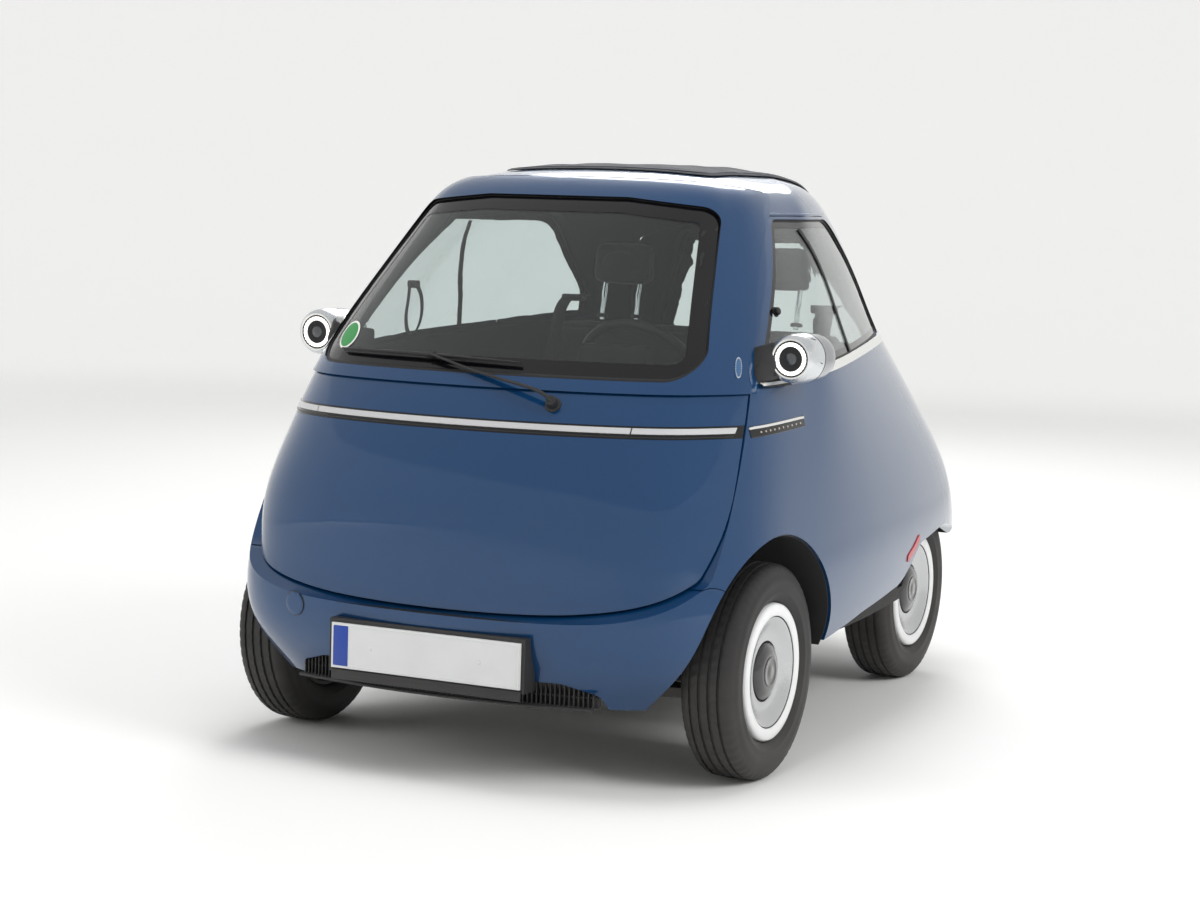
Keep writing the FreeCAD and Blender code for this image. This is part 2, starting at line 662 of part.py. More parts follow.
def tyre_section():
    half = s.tyre_width / 2
    return ((s.rim_radius, -half * 0.72), (s.rim_radius, half * 0.72),
            (s.rim_radius + 22, half * 0.96), (s.tyre_radius - 50, half), (s.tyre_radius - 12, half * 0.86),
            (s.tyre_radius, half * 0.62), (s.tyre_radius, -half * 0.62), (s.tyre_radius - 12, -half * 0.86),
            (s.tyre_radius - 50, -half), (s.rim_radius + 22, -half * 0.96))


def rim_section():
    """Barrel, bright cover and hub in one ring, from the bore outwards."""
    half = s.tyre_width / 2
    bead = s.rim_radius - s.seat_clearance
    return ((s.hub_bore_radius, -6), (s.hub_bore_radius, 34), (s.cap_radius + 14, 34), (s.cap_radius + 20, 50),
            (s.cover_radius - 26, 54), (s.cover_radius - 12, 68), (s.cover_radius - 4, 68), (bead, half * 0.72),
            (bead, -half * 0.72), (bead - 9, -half * 0.72), (bead - 9, 26), (58, 24), (44, -6))


def cap_section():
    return ((0, 34.3), (s.cap_radius, 34.3), (s.cap_radius, 46), (s.cap_radius - 18, 54),
            (s.cap_radius / 3, s.cap_rise + 34.3), (0, s.cap_rise + 35.3))


for axle, axle_y, track in AXLES:
    for side_name, side in SIDES:
        for piece, section in (("tyre", tyre_section()), ("rim", rim_section()), ("hub_cap", cap_section())):
            wheel_piece = turned("%s_%s_%s" % (piece, axle, side_name), section)
            place(wheel_piece, track / 2 * side, axle_y, s.tyre_radius, out_to(side))


def steer_point(z):
    """A point on the left steering axis at a height."""
    share = (z - mm("steer_foot_z")) / (mm("steer_top_z") - mm("steer_foot_z"))
    foot_x, top_x = mm("front_track") / 2 - mm("steer_foot_inset"), mm("front_track") / 2 - mm("steer_top_inset")
    x = foot_x + share * (top_x - foot_x)
    return Vector(x, mm("front_axle_y"), z)


def steer_rod(low_z, high_z, radius):
    start, end = steer_point(low_z), steer_point(high_z)
    return Part.makeCylinder(radius, (end - start).Length, start, end - start)


def knuckle():
    y = mm("front_axle_y")
    hub_z = mm("tyre_radius")
    hub_x = mm("front_track") / 2 - mm("hub_inset")
    spindle = Part.makeCylinder(mm("spindle_radius"), mm("hub_inset") + 32, Vector(hub_x, y, hub_z), Vector(1, 0, 0))
    post = steer_rod(mm("steer_foot_z") + 22, 330, 22)
    plate = box((hub_x, y - 40, hub_z - 40), (hub_x + 24, y + 40, hub_z + 40))
    arm_foot = mm("rack_z") + mm("arm_lift") + 9
    arm = box((hub_x - 13, y, arm_foot), (hub_x + 17, mm("rack_y") + 14, arm_foot + 14))
    stud = steer_rod(mm("steer_foot_z") - 12, mm("steer_foot_z") + 30, 9)
    tube = steer_rod(330, mm("steer_top_z"), 22)
    spring = steer_rod(440, mm("steer_top_z") - 14, 36)
    return spindle.fuse([post, plate, arm, stud, tube, spring]).removeSplitter()


def wheel_housing():
    y, z = mm("front_axle_y"), mm("arch_height")
    outside = mm("arch_radius") - mm("seat_clearance")
    inside = mm("arch_radius") - mm("liner_thickness")
    drum = Part.makeCylinder(outside, OUT, Vector(mm("arch_inner") - mm("liner_thickness"), y, z), Vector(1, 0, 0))
    hollow = Part.makeCylinder(inside, OUT, Vector(mm("arch_inner"), y, z), Vector(1, 0, 0))
    turret = steer_rod(mm("steer_top_z") + mm("seat_clearance"), 640, 40)
    made = drum.cut(hollow).fuse(turret.common(drum)).common(skin_half(8))
    made = made.cut(door_zone_wide).cut(bumper_zone_wide)
    return made.cut(box((0, -OUT, 0), (OUT, OUT, mm("floor_height") - mm("floor_thickness"))))


feature("knuckle_left", knuckle())
feature("knuckle_right", other_side(knuckle()))
housing = wheel_housing()
feature("wheel_housing_left", housing)
feature("wheel_housing_right", other_side(housing))


def front_subframe():
    y = mm("front_axle_y")
    top = mm("floor_height") - mm("floor_thickness") - mm("seat_clearance")
    foot = mm("steer_foot_z")
    beam = box((-1, y - 55, foot - 12), (250, y + 55, top))
    end = steer_point(foot).x
    arm = plan_prism(((240, y - 50, 0), (240, y + 50, 0), (end - 170, y + 46, 0), (end - 90, y + 24, 0),
                      (end + 20, y + 24, 20), (end + 20, y - 24, 20), (end - 90, y - 24, 0), (end - 170, y - 46, 0)),
                     foot - 12, foot + 12)
    arm = arm.cut(steer_rod(foot - 60, foot + 60, 9 + mm("pin_clearance")))
    tube = Part.makeCylinder(22, 180, Vector(-1, mm("rack_y"), mm("rack_z")), Vector(1, 0, 0))
    bore = Part.makeCylinder(9 + mm("pin_clearance"), 200, Vector(-2, mm("rack_y"), mm("rack_z")), Vector(1, 0, 0))
    bracket = box((120, y + 50, mm("rack_z") - 10), (150, mm("rack_y"), mm("rack_z") + 10))
    half = beam.fuse([arm, tube, bracket]).cut(bore)
    return across(half.common(box((0, -OUT, 0), (OUT, OUT, OUT))))


def tie_rods():
    hub_x = mm("front_track") / 2 - mm("hub_inset")
    rod = Part.makeCylinder(9, hub_x + 7, Vector(0, mm("rack_y"), mm("rack_z")), Vector(1, 0, 0))
    end = Part.makeCylinder(12, 18, Vector(hub_x, mm("rack_y"), mm("rack_z") - 9), Vector(0, 0, 1))
    return across(rod.fuse(end))


feature("front_subframe", front_subframe())
feature("steering_rack", tie_rods())


def floor_pan():
    top = mm("floor_height")
    under = top - mm("floor_thickness")
    neck = mm("arch_inner") - mm("liner_thickness") - mm("seat_clearance")
    front_y = mm("front_axle_y")
    well = mm("arch_radius") + 4
    tub = plan_prism(((-1, -1140, 0), (560, -1140, 0), (560, front_y - well, 0), (neck, front_y - well, 0),
                      (neck, front_y + well, 0), (OUT, front_y + well, 0), (OUT, 420, 0), (-1, 420, 0)), under, top)
    sill = box((600, front_y + well, under), (OUT, 330, 400))
    step = box((-1, -1140, under), (560, front_y - well, 400))
    bulkhead = box((-1, 395, under), (OUT, 425, 620))
    deck = box((-1, 395, 590), (OUT, OUT, 620))
    made = tub.fuse([sill, step, bulkhead, deck]).common(skin_half(mm("door_wall") + mm("seat_clearance"), 60))
    crash_beam = box((-1, 1165, 470), (300, OUT, 592)).common(skin_half(wall + mm("seat_clearance"), 60))
    made = made.fuse(crash_beam)
    half_pad = mm("jack_pad_width") / 2
    for y in (mm("jack_front_y"), mm("jack_rear_y")):
        made = made.fuse(box((mm("jack_x") - half_pad, y - half_pad, under - mm("jack_pad_rise")),
                             (mm("jack_x") + half_pad, y + half_pad, under + 1)))
    return across(made.cut(door_zone_wide))


feature("floor_pan", floor_pan())


def slab(name, low, high, radius=0):
    """A plain block as a padded sketch, with rounded long edges where radius is given."""
    body = new_body(name)
    outline = sketch(body, name + "Outline", "YZ_Plane",
                     ((low[1], low[2]), (high[1], low[2]), (high[1], high[2]), (low[1], high[2])))
    run = pad(body, outline, s_length(low[0], high[0]))
    if radius:
        doc.recompute()
        round_ = body.newObject("PartDesign::Fillet", name + "Rounding")
        round_.Base = (run, ["Edge%d" % (i + 1) for i in range(len(run.Shape.Edges))])
        round_.Radius = radius
        body.Tip = round_
    return body


def s_length(low, high):
    return high - low if isinstance(high, Size) or isinstance(low, Size) else Size(high - low, repr(float(high - low)))


slab("seat_base", (-470, s.seat_y - 250, s.floor_height + s.seat_clearance), (470, s.seat_y + 250, 455))
slab("seat_cushion", (-s.bench_half_width, s.seat_y - 280, 455.3), (s.bench_half_width, s.seat_y + 250, s.bench_height), 30)
BACK_LEAN = Rotation(Vector(1, 0, 0), -9)
BACK_RISE = 3.8  # from the cushion to the middle of the back's foot, whose rounded edge dips lower
back = slab("seat_back", (-455, -50, 0), (455, 50, 480), 30)
place(back, 0, s.seat_y + 188, s.bench_height + BACK_RISE, BACK_LEAN)


def headrests():
    made = []
    for side in (LEFT, RIGHT):
        x = side * mm("head_x")
        pad_ = box((x - 95, -42, 95), (x + 95, 42, 225))
        pad_ = pad_.makeFillet(26, pad_.Edges)
        posts = [Part.makeCylinder(7, 106, Vector(x + off, 0, 0.3), Vector(0, 0, 1)) for off in (-55, 55)]
        made.append(pad_.fuse(posts))
    return Part.makeCompound(made)


head_foot = Vector(0, mm("seat_y") + 188, mm("bench_height") + BACK_RISE) + BACK_LEAN.multVec(Vector(0, 0, 480))
feature("headrests", headrests(), Placement(head_foot, BACK_LEAN))


def column_place():
    lean = math.radians(mm("column_rise"))
    towards = Vector(0, math.cos(lean), math.sin(lean))
    centre = Vector(mm("wheel_hand_x"), mm("wheel_hand_y"), mm("wheel_hand_z"))
    return centre, towards


def steering_wheel():
    centre, towards = column_place()
    rim = Part.makeTorus(mm("steering_wheel_radius"), 14, centre, towards)
    hub = Part.makeCylinder(48, 36, centre - towards * 40, towards)
    shaft = Part.makeCylinder(12, 90, centre - towards * 120, towards)
    frame = Placement(centre - towards * 12, Rotation(Vector(0, 0, 1), towards))
    spokes = []
    for angle in (0, 180, 270):
        spoke = Part.makeBox(mm("steering_wheel_radius"), 30, 10, Vector(0, -15, -5))
        spoke.rotate(Vector(), Vector(0, 0, 1), angle)
        spokes.append(spoke.transformGeometry(frame.toMatrix()))
    return rim.fuse([hub, shaft] + spokes).removeSplitter()


def steering_column():
    centre, towards = column_place()
    tube = Part.makeCylinder(26, 330, centre - towards * 390, towards)
    bore = Part.makeCylinder(12 + mm("pin_clearance"), 70, centre - towards * 122, towards)
    foot = centre - towards * 350
    x = mm("wheel_hand_x")
    pedestal = box((x - 45, foot.y - 50, mm("floor_height") + mm("seat_clearance")), (x + 45, foot.y + 40, foot.z + 10))
    screen = box((x - 95, centre.y - 170, centre.z + 20), (x + 95, centre.y - 120, centre.z + 95))
    neck = box((x - 20, centre.y - 165, centre.z - 100), (x + 20, centre.y - 130, centre.z + 40))
    return tube.fuse([pedestal, neck, screen]).removeSplitter().cut(bore)


feature("steering_wheel", steering_wheel())
feature("steering_column", steering_column())


def pedals():
    x = mm("wheel_hand_x")
    base = box((x - 110, -930, mm("floor_height") + mm("seat_clearance")), (x + 60, -890, mm("floor_height") + 30))
    made = [base]
    for at in (x - 80, x + 20):
        made.append(box((at - 8, -925, mm("floor_height") + 20), (at + 8, -911, 400)))
        made.append(box((at - 28, -918, 350), (at + 28, -896, 420)))
    return made[0].fuse(made[1:]).removeSplitter()


feature("pedals", pedals())


def rear_axle():
    y = mm("rear_axle_y")
    under = mm("floor_height") - mm("floor_thickness") - mm("seat_clearance")
    beam = box((-1, 300, 215), (mm("rear_track") / 2 - mm("rear_arm_inset") + 20, 390, under))
    cradle = box((-1, 380, 215), (160, 640, 235))
    arm_x = mm("rear_track") / 2 - mm("rear_arm_inset")
    arm = box((arm_x - 20, 380, 225), (arm_x + 20, y + 50, 289))
    spindle = Part.makeCylinder(mm("spindle_radius"), mm("rear_arm_inset") + 17, Vector(arm_x + 15, y, mm("tyre_radius")),
                                Vector(1, 0, 0))
    seat = Part.makeCylinder(30, 20, Vector(arm_x, y - 30, 285), Vector(0, 0, 1))
    half = beam.fuse([arm, cradle, spindle, seat]).common(box((0, -OUT, 0), (OUT, OUT, OUT)))
    return across(half)


feature("rear_axle", rear_axle())
slab("drive_motor", (-s.motor_length / 2, 470, 235.3), (s.motor_length / 2, 790, 430))


def dampers():
    y = mm("rear_axle_y") - 30
    arm_x = mm("rear_track") / 2 - mm("rear_arm_inset")
    tube = Part.makeCylinder(14, 590 - 305 - 2 * mm("seat_clearance"), Vector(arm_x, y, 305 + mm("seat_clearance")))
    spring = Part.makeCylinder(29, 200, Vector(arm_x, y, 350))
    half = tube.fuse(spring)
    return Part.makeCompound([half, other_side(half)])


feature("rear_dampers", dampers())


lamp_point = Vector(side_x - mm("lamp_inset"), mm("lamp_y"), mm("lamp_z"))


def lamp_housing():
    section = ((0, 0), (50, 0), (mm("lamp_radius") - 3, 20), (mm("lamp_radius"), 60),
               (mm("lamp_radius") - 2, mm("lamp_length") - 30), (mm("lamp_radius") - 8, mm("lamp_length")),
               (0, mm("lamp_length")))
    wire = Part.makePolygon([lamp_point + Vector(r, length, 0) for r, length in section] + [lamp_point])
    return Part.Face(wire).revolve(lamp_point, Vector(0, 1, 0), 360)


# Lamp foot seen from the side, (y, z, corner radius): it laps over the window's front lower corner.
LAMP_FOOT = ((-735, 958, 6), (-600, 958, 10), (-600, 1000, 20), (-672, 1046, 20), (-705, 1040, 6))


def lamp_foot():
    """Black foot on the skin with the stalk that carries the lamp."""
    shell_ = skin_half(-mm("foot_thickness")).cut(skin_half(-mm("seat_clearance")))
    foot = shell_.common(side_prism(LAMP_FOOT, 200, OUT))
    stalk = Part.makeCylinder(22, 130, lamp_point + Vector(-130, 72, -24), Vector(1, 0, 0))
    stalk = stalk.cut(skin_half(-mm("foot_thickness") / 2))
    room = Part.makeCylinder(mm("lamp_radius") + mm("seat_clearance"), OUT, lamp_point, Vector(0, 1, 0))
    return foot.fuse(stalk).cut(room).removeSplitter()


lamp = lamp_housing()
feature("lamps", Part.makeCompound([lamp, other_side(lamp)]))
foot = lamp_foot()
feature("lamp_feet", Part.makeCompound([foot, other_side(foot)]))


def plate(centre_y, centre_z, out):
    """A blank plate on its holder, in front of the bumper skin."""
    half = mm("plate_width") / 2
    tall = mm("plate_height") / 2
    face = centre_y
    holder = box((0, min(face - out * 8, face - out * 60), centre_z - tall - 10),
                 (half + 10, max(face - out * 8, face - out * 60), centre_z + tall + 10))
    holder = holder.cut(skin_half(-mm("seat_clearance")))
    board = box((0, min(face, face - out * 7.7), centre_z - tall), (half, max(face, face - out * 7.7), centre_z + tall))
    return across(holder), across(board)


front_holder, front_board = plate(-mm("nose_reach") - mm("front_plate_stand"), mm("plate_z"), -1)
rear_holder, rear_board = plate(mm("tail_reach") + mm("rear_plate_stand"), mm("rear_plate_z"), 1)
feature("plate_holders", Part.makeCompound([front_holder, rear_holder]))
feature("plates", Part.makeCompound([front_board, rear_board]))


def grille():
    zone = skin_half(12).cut(skin_half(24, 60)).common(front_prism(GRILLE_OPENING, -OUT, 0, -mm("seat_clearance")))
    return across(zone.cut(box((0, -OUT, 0), (OUT, OUT, mm("skirt_height") + 6))))


feature("lower_grille", grille())


feature("door_pin", door_rod(mm("door_pin_radius"), mm("door_arm_low") - 31, mm("door_arm_high") + 29))

doc.recompute()
for thing in SUBPARTS:
    if "Invalid" in thing.State or "Error" in thing.State:
        raise RuntimeError("%s did not build: %s" % (thing.Label, thing.State))
    if thing.Shape.isNull() or not thing.Shape.isValid() or thing.Shape.Volume <= 0:
        raise RuntimeError("%s has no valid shape" % thing.Label)

os.makedirs("parts", exist_ok=True)
for thing in SUBPARTS:
    thing.Shape.exportStep("parts/%s.step" % thing.Label)
    box = thing.Shape.BoundBox
    print("%-22s solids %2d  litres %7.2f  x %6.0f %6.0f  y %6.0f %6.0f  z %6.0f %6.0f" % (
        thing.Label, len(thing.Shape.Solids), thing.Shape.Volume / 1e6,
        box.XMin, box.XMax, box.YMin, box.YMax, box.ZMin, box.ZMax))
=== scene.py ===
import math

import bmesh
import bpy
from bpy.props import FloatProperty, FloatVectorProperty, IntProperty, PointerProperty
from bpy.types import Operator, Panel, PropertyGroup
from mathutils import Matrix, Vector
from mathutils.bvhtree import BVHTree


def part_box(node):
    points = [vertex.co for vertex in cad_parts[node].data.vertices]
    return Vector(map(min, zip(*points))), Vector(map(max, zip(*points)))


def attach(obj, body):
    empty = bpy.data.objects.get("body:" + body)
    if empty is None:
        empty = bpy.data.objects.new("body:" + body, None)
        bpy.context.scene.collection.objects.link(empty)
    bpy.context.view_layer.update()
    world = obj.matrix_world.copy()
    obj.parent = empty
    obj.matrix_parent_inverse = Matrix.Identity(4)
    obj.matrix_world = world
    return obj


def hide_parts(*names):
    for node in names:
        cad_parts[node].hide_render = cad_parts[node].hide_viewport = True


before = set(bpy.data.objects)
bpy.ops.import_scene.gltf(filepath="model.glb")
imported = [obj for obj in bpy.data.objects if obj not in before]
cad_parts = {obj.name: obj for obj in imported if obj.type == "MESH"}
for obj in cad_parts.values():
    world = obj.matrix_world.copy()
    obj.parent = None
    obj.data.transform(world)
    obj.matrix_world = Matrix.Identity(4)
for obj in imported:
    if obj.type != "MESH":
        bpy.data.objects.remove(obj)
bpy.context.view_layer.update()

bl_info = {
    "name": "Microcar Looks",
    "version": (1, 0, 0),
    "blender": (4, 5, 0),
    "location": "3D View > Sidebar > Microcar",
    "description": "Dresses the frame of a small front-door city car: wheels, lamps, trims, seats and paint",
    "category": "Object",
}

# All lengths are metres. +X is the car's left, -Y its front, +Z up, the ground is Z = 0.
LEFT, RIGHT = 1, -1
BOTH = (LEFT, RIGHT)
FAR = 3.0  # where rays start, outside the car
CABIN_MIDDLE = (0.0, 0.0, 0.72)
FLAKE_SCALE = 2600.0  # metal flakes of the paint, in noise cells to a metre

# Openings of the body seen from the side, (y, z, corner radius), and from the front or back, (x, z, radius)
SIDE_WINDOW = ((-0.738, 0.972, 0.020), (-0.372, 1.364, 0.070), (0.150, 1.366, 0.190), (0.415, 1.140, 0.200),
               (0.442, 1.046, 0.022))
WINDSCREEN = ((0.552, 0.972, 0.062), (0.425, 1.388, 0.062), (0.200, 1.410, 0), (-0.200, 1.410, 0),
              (-0.425, 1.388, 0.062), (-0.552, 0.972, 0.062))
REAR_WINDOW = ((0.375, 0.960, 0.060), (0.190, 1.325, 0.055), (-0.190, 1.325, 0.055), (-0.375, 0.960, 0.060))
BELT = ((-0.738, 0.964), (-0.523, 0.972), (-0.313, 0.991), (0.010, 1.013), (0.250, 1.026), (0.468, 1.034))
FENDER_STRIP = ((-0.822, 0.8535), (-0.700, 0.8600), (-0.556, 0.8670))


def length(name, default, description):
    return FloatProperty(name=name, description=description, default=default, unit="LENGTH", precision=4, min=0)


def share(name, default, description):
    return FloatProperty(name=name, description=description, default=default, min=0, max=1, subtype="FACTOR")


def colour(name, default, description):
    return FloatVectorProperty(name=name, description=description, default=default, size=3, min=0, max=1,
                               subtype="COLOR")


class PaintLooks(PropertyGroup):
    body: colour("Body", (0.0006, 0.0380, 0.1200), "Deep metallic blue of the panels")
    lining: colour("Lining", (0.020, 0.021, 0.023), "Trim on the inner faces of the panels")
    metallic: share("Metallic", 0.45, "How much of the paint is metal flake")
    orange_peel: length("Orange peel", 0.00002, "Waviness of the clear coat")


class WheelLooks(PropertyGroup):
    rubber: colour("Rubber", (0.011, 0.011, 0.012), "Tyres")
    ring: colour("Ring", (0.78, 0.79, 0.79), "Outer ring of the wheel covers")
    dish: colour("Dish", (0.56, 0.57, 0.58), "Silver dish of the wheel covers")
    groove_depth: length("Groove depth", 0.007, "Grooves round the tread")
    sipe_depth: length("Sipe depth", 0.0022, "Cuts across the ribs")
    sipes: IntProperty(name="Sipes", description="Cuts round one rib", default=60, min=12, max=90)


class TrimLooks(PropertyGroup):
    belt_height: length("Belt height", 0.022, "Bright belt under the side windows")
    belt_rise: length("Belt rise", 0.004, "Bright belt above the panel")
    border: length("Border", 0.040, "Black printed border of the windscreen")
    seal: length("Seal", 0.009, "Rubber round each window")
    bright: colour("Bright trim", (0.86, 0.86, 0.84), "Brushed bright metal")


class LampLooks(PropertyGroup):
    segments: IntProperty(name="Segments", description="Lit blocks in each ring", default=28, min=8, max=60)
    glow: FloatProperty(name="Glow", description="Strength of the lit rings", default=1.3, min=0, max=20)
    light: colour("Light", (1.0, 0.99, 0.95), "Colour of the lit rings")


class CabinLooks(PropertyGroup):
    fabric: colour("Fabric", (0.040, 0.041, 0.045), "Seat cloth")
    yarn: colour("Yarn", (0.055, 0.056, 0.061), "Lighter thread of the seat cloth")
    cell: length("Cell", 0.011, "Mesh size of the stuffed pieces")
    swell: length("Swell", 0.012, "Most that stuffing moves a point")


class StageLooks(PropertyGroup):
    floor: colour("Floor", (0.80, 0.80, 0.79), "Floor and backdrop")
    radius: FloatProperty(name="Radius", description="Floor before it curves up", default=15, unit="LENGTH", min=5)
    sky: FloatProperty(name="Sky", description="Strength of the even light", default=0.66, min=0, max=4)
    key: FloatProperty(name="Key", description="Power of the main soft light in watts", default=430, min=0)


class MicrocarLooks(PropertyGroup):
    paint: PointerProperty(type=PaintLooks, name="Paint", description="Panels")
    wheels: PointerProperty(type=WheelLooks, name="Wheels", description="Tyres and covers")
    trims: PointerProperty(type=TrimLooks, name="Trims", description="Belts, seals and borders")
    lamps: PointerProperty(type=LampLooks, name="Lamps", description="Lamp pods")
    cabin: PointerProperty(type=CabinLooks, name="Cabin", description="Seats and trim")
    stage: PointerProperty(type=StageLooks, name="Stage", description="Floor and light")


def looks():
    return bpy.context.scene.microcar


# Node trees

class Nodes:
    """Adds and links the nodes of one tree."""

    def __init__(self, tree):
        self.tree = tree

    def put(self, socket, value):
        if isinstance(value, bpy.types.NodeSocket):
            self.tree.links.new(value, socket)
        else:
            socket.default_value = value

    def add(self, kind, inputs=None, **settings):
        made = self.tree.nodes.new("ShaderNode" + kind)
        for name, value in settings.items():
            setattr(made, name, value)
        for name, value in (inputs or {}).items():
            self.put(made.inputs[name], value)
        return made

    def math(self, operation, *values, clamp=False):
        made = self.add("Math", operation=operation, use_clamp=clamp)
        for socket, value in zip(made.inputs, values):
            self.put(socket, value)
        return made.outputs[0]

    def mix(self, factor, first, second):
        made = self.add("Mix", data_type="RGBA")
        for place, value in ((0, factor), (6, first), (7, second)):
            self.put(made.inputs[place], value)
        return made.outputs[2]

    def noise(self, scale, detail=3.0, stretch=None):
        spot = self.add("TexCoord").outputs["Object"]
        if stretch:
            spot = self.add("Mapping", {"Vector": spot, "Scale": stretch}).outputs[0]
        return self.add("TexNoise", {"Vector": spot, "Scale": scale, "Detail": detail}).outputs["Fac"]


def node_group(name, inputs, outputs, build):
    """A shader group with named sockets, built once."""
    found = bpy.data.node_groups.get(name)
    if found:
        return found
    tree = bpy.data.node_groups.new(name, "ShaderNodeTree")
    kinds = {"value": "NodeSocketFloat", "colour": "NodeSocketColor"}
    for label, kind, default in inputs:
        tree.interface.new_socket(label, in_out="INPUT", socket_type=kinds[kind]).default_value = default
    for label, kind in outputs:
        tree.interface.new_socket(label, in_out="OUTPUT", socket_type=kinds[kind])
    given, result = tree.nodes.new("NodeGroupInput"), tree.nodes.new("NodeGroupOutput")
    for label, socket in build(Nodes(tree), given.outputs).items():
        tree.links.new(socket, result.inputs[label])
    return tree


def grain_group():
    """Uneven gloss and a fine relief."""
    def build(nodes, given):
        spot = nodes.add("TexCoord").outputs["Object"]
        fine = nodes.add("TexNoise", {"Vector": spot, "Scale": given["Scale"], "Detail": 3.0}).outputs["Fac"]
        wide = nodes.add("TexNoise", {"Vector": spot, "Scale": 7.0, "Detail": 4.0}).outputs["Fac"]
        both = nodes.math("ADD", nodes.math("MULTIPLY", fine, 0.4), nodes.math("MULTIPLY", wide, 0.6))
        moved = nodes.math("MULTIPLY", nodes.math("SUBTRACT", both, 0.5), given["Spread"])
        return {"Roughness": nodes.math("ADD", given["Roughness"], moved, clamp=True), "Height": fine}
    wanted = (("Scale", "value", 900.0), ("Roughness", "value", 0.5), ("Spread", "value", 0.1))
    return node_group("Surface grain", wanted, (("Roughness", "value"), ("Height", "value")), build)


def dust_group():
    """Road dust that thins out upwards."""
    def build(nodes, given):
        spot = nodes.add("TexCoord").outputs["Object"]
        height = nodes.add("SeparateXYZ", {"Vector": spot}).outputs["Z"]
        fade = nodes.add("MapRange", {"Value": height, "From Min": 0.0, "From Max": given["Top"], "To Min": 1.0,
                                      "To Max": 0.0}, interpolation_type="SMOOTHSTEP").outputs[0]
        blotch = nodes.add("TexNoise", {"Vector": spot, "Scale": 11.0, "Detail": 6.0}).outputs["Fac"]
        mask = nodes.math("MULTIPLY", nodes.math("MULTIPLY", fade, blotch), given["Amount"], clamp=True)
        return {"Colour": nodes.mix(mask, given["Colour"], given["Dust"])}
    wanted = (("Colour", "colour", (0.5, 0.5, 0.5, 1)), ("Dust", "colour", (0.16, 0.14, 0.12, 1)),
              ("Amount", "value", 0.2), ("Top", "value", 0.7))
    return node_group("Road dust", wanted, (("Colour", "colour"),), build)


def weave_group():
    """Plain weave of two threads that cross."""
    def build(nodes, given):
        split = nodes.add("SeparateXYZ", {"Vector": nodes.add("TexCoord").outputs["Object"]})
        along = nodes.math("ADD", split.outputs["Y"], split.outputs["Z"])
        turn = nodes.math("MULTIPLY", given["Threads"], math.pi)
        one = nodes.math("SINE", nodes.math("MULTIPLY", split.outputs["X"], turn))
        two = nodes.math("SINE", nodes.math("MULTIPLY", along, turn))
        over = nodes.math("GREATER_THAN", nodes.math("MULTIPLY", one, two), 0.0)
        first, second = nodes.math("ABSOLUTE", one), nodes.math("ABSOLUTE", two)
        height = nodes.math("ADD", nodes.math("MULTIPLY", first, over),
                           nodes.math("MULTIPLY", second, nodes.math("SUBTRACT", 1.0, over)))
        fleck = nodes.noise(240.0, 2.0)
        thread = nodes.mix(over, given["Warp"], given["Weft"])
        dark = nodes.mix(nodes.math("MULTIPLY", fleck, 0.30), thread, (0.01, 0.01, 0.01, 1))
        return {"Colour": dark, "Height": height}
    wanted = (("Threads", "value", 600.0), ("Warp", "colour", (0.1, 0.1, 0.1, 1)),
              ("Weft", "colour", (0.05, 0.05, 0.05, 1)))
    return node_group("Plain weave", wanted, (("Colour", "colour"), ("Height", "value")), build)


def blank(name):
    """An empty material with its shader: (material, nodes, shader)."""
    made = bpy.data.materials.new(name)
    made.use_nodes = True
    nodes = Nodes(made.node_tree)
    nodes.tree.nodes.clear()
    shader = nodes.add("BsdfPrincipled")
    output = nodes.add("OutputMaterial")
    nodes.tree.links.new(shader.outputs["BSDF"], output.inputs["Surface"])
    return made, nodes, shader


def once(build):
    """Build a material when its name is first asked for, and find it after that."""
    def found_or_built(name, *values, **settings):
        return bpy.data.materials.get(name) or build(name, *values, **settings)
    return found_or_built


def set_all(node, **values):
    """Plain values for a node's sockets, by their names with _ for a space."""
    for label, value in values.items():
        node.inputs[label.replace("_", " ")].default_value = value


def solid(rgb, strength=1.0):
    return (rgb[0] * strength, rgb[1] * strength, rgb[2] * strength, 1.0)


@once
def finish(name, rgb, roughness, metallic=0.0, coat=0.0, grain=700.0, spread=0.10, relief=0.00003, dust=0.12,
           top=0.9, specular=0.5):
    """A plain finish with uneven gloss, a fine relief and a little dust."""
    made, nodes, shader = blank(name)
    worn = nodes.add("Group", node_tree=grain_group())
    set_all(worn, Scale=grain, Roughness=roughness, Spread=spread)
    dusty = nodes.add("Group", node_tree=dust_group())
    set_all(dusty, Colour=solid(rgb), Amount=dust, Top=top)
    bump = nodes.add("Bump", {"Height": worn.outputs["Height"], "Distance": relief, "Strength": 0.6})
    nodes.put(shader.inputs["Base Color"], dusty.outputs["Colour"])
    nodes.put(shader.inputs["Roughness"], worn.outputs["Roughness"])
    nodes.put(shader.inputs["Normal"], bump.outputs["Normal"])
    set_all(shader, Metallic=metallic, Coat_Weight=coat, Coat_Roughness=0.04, Specular_IOR_Level=specular)
    return made


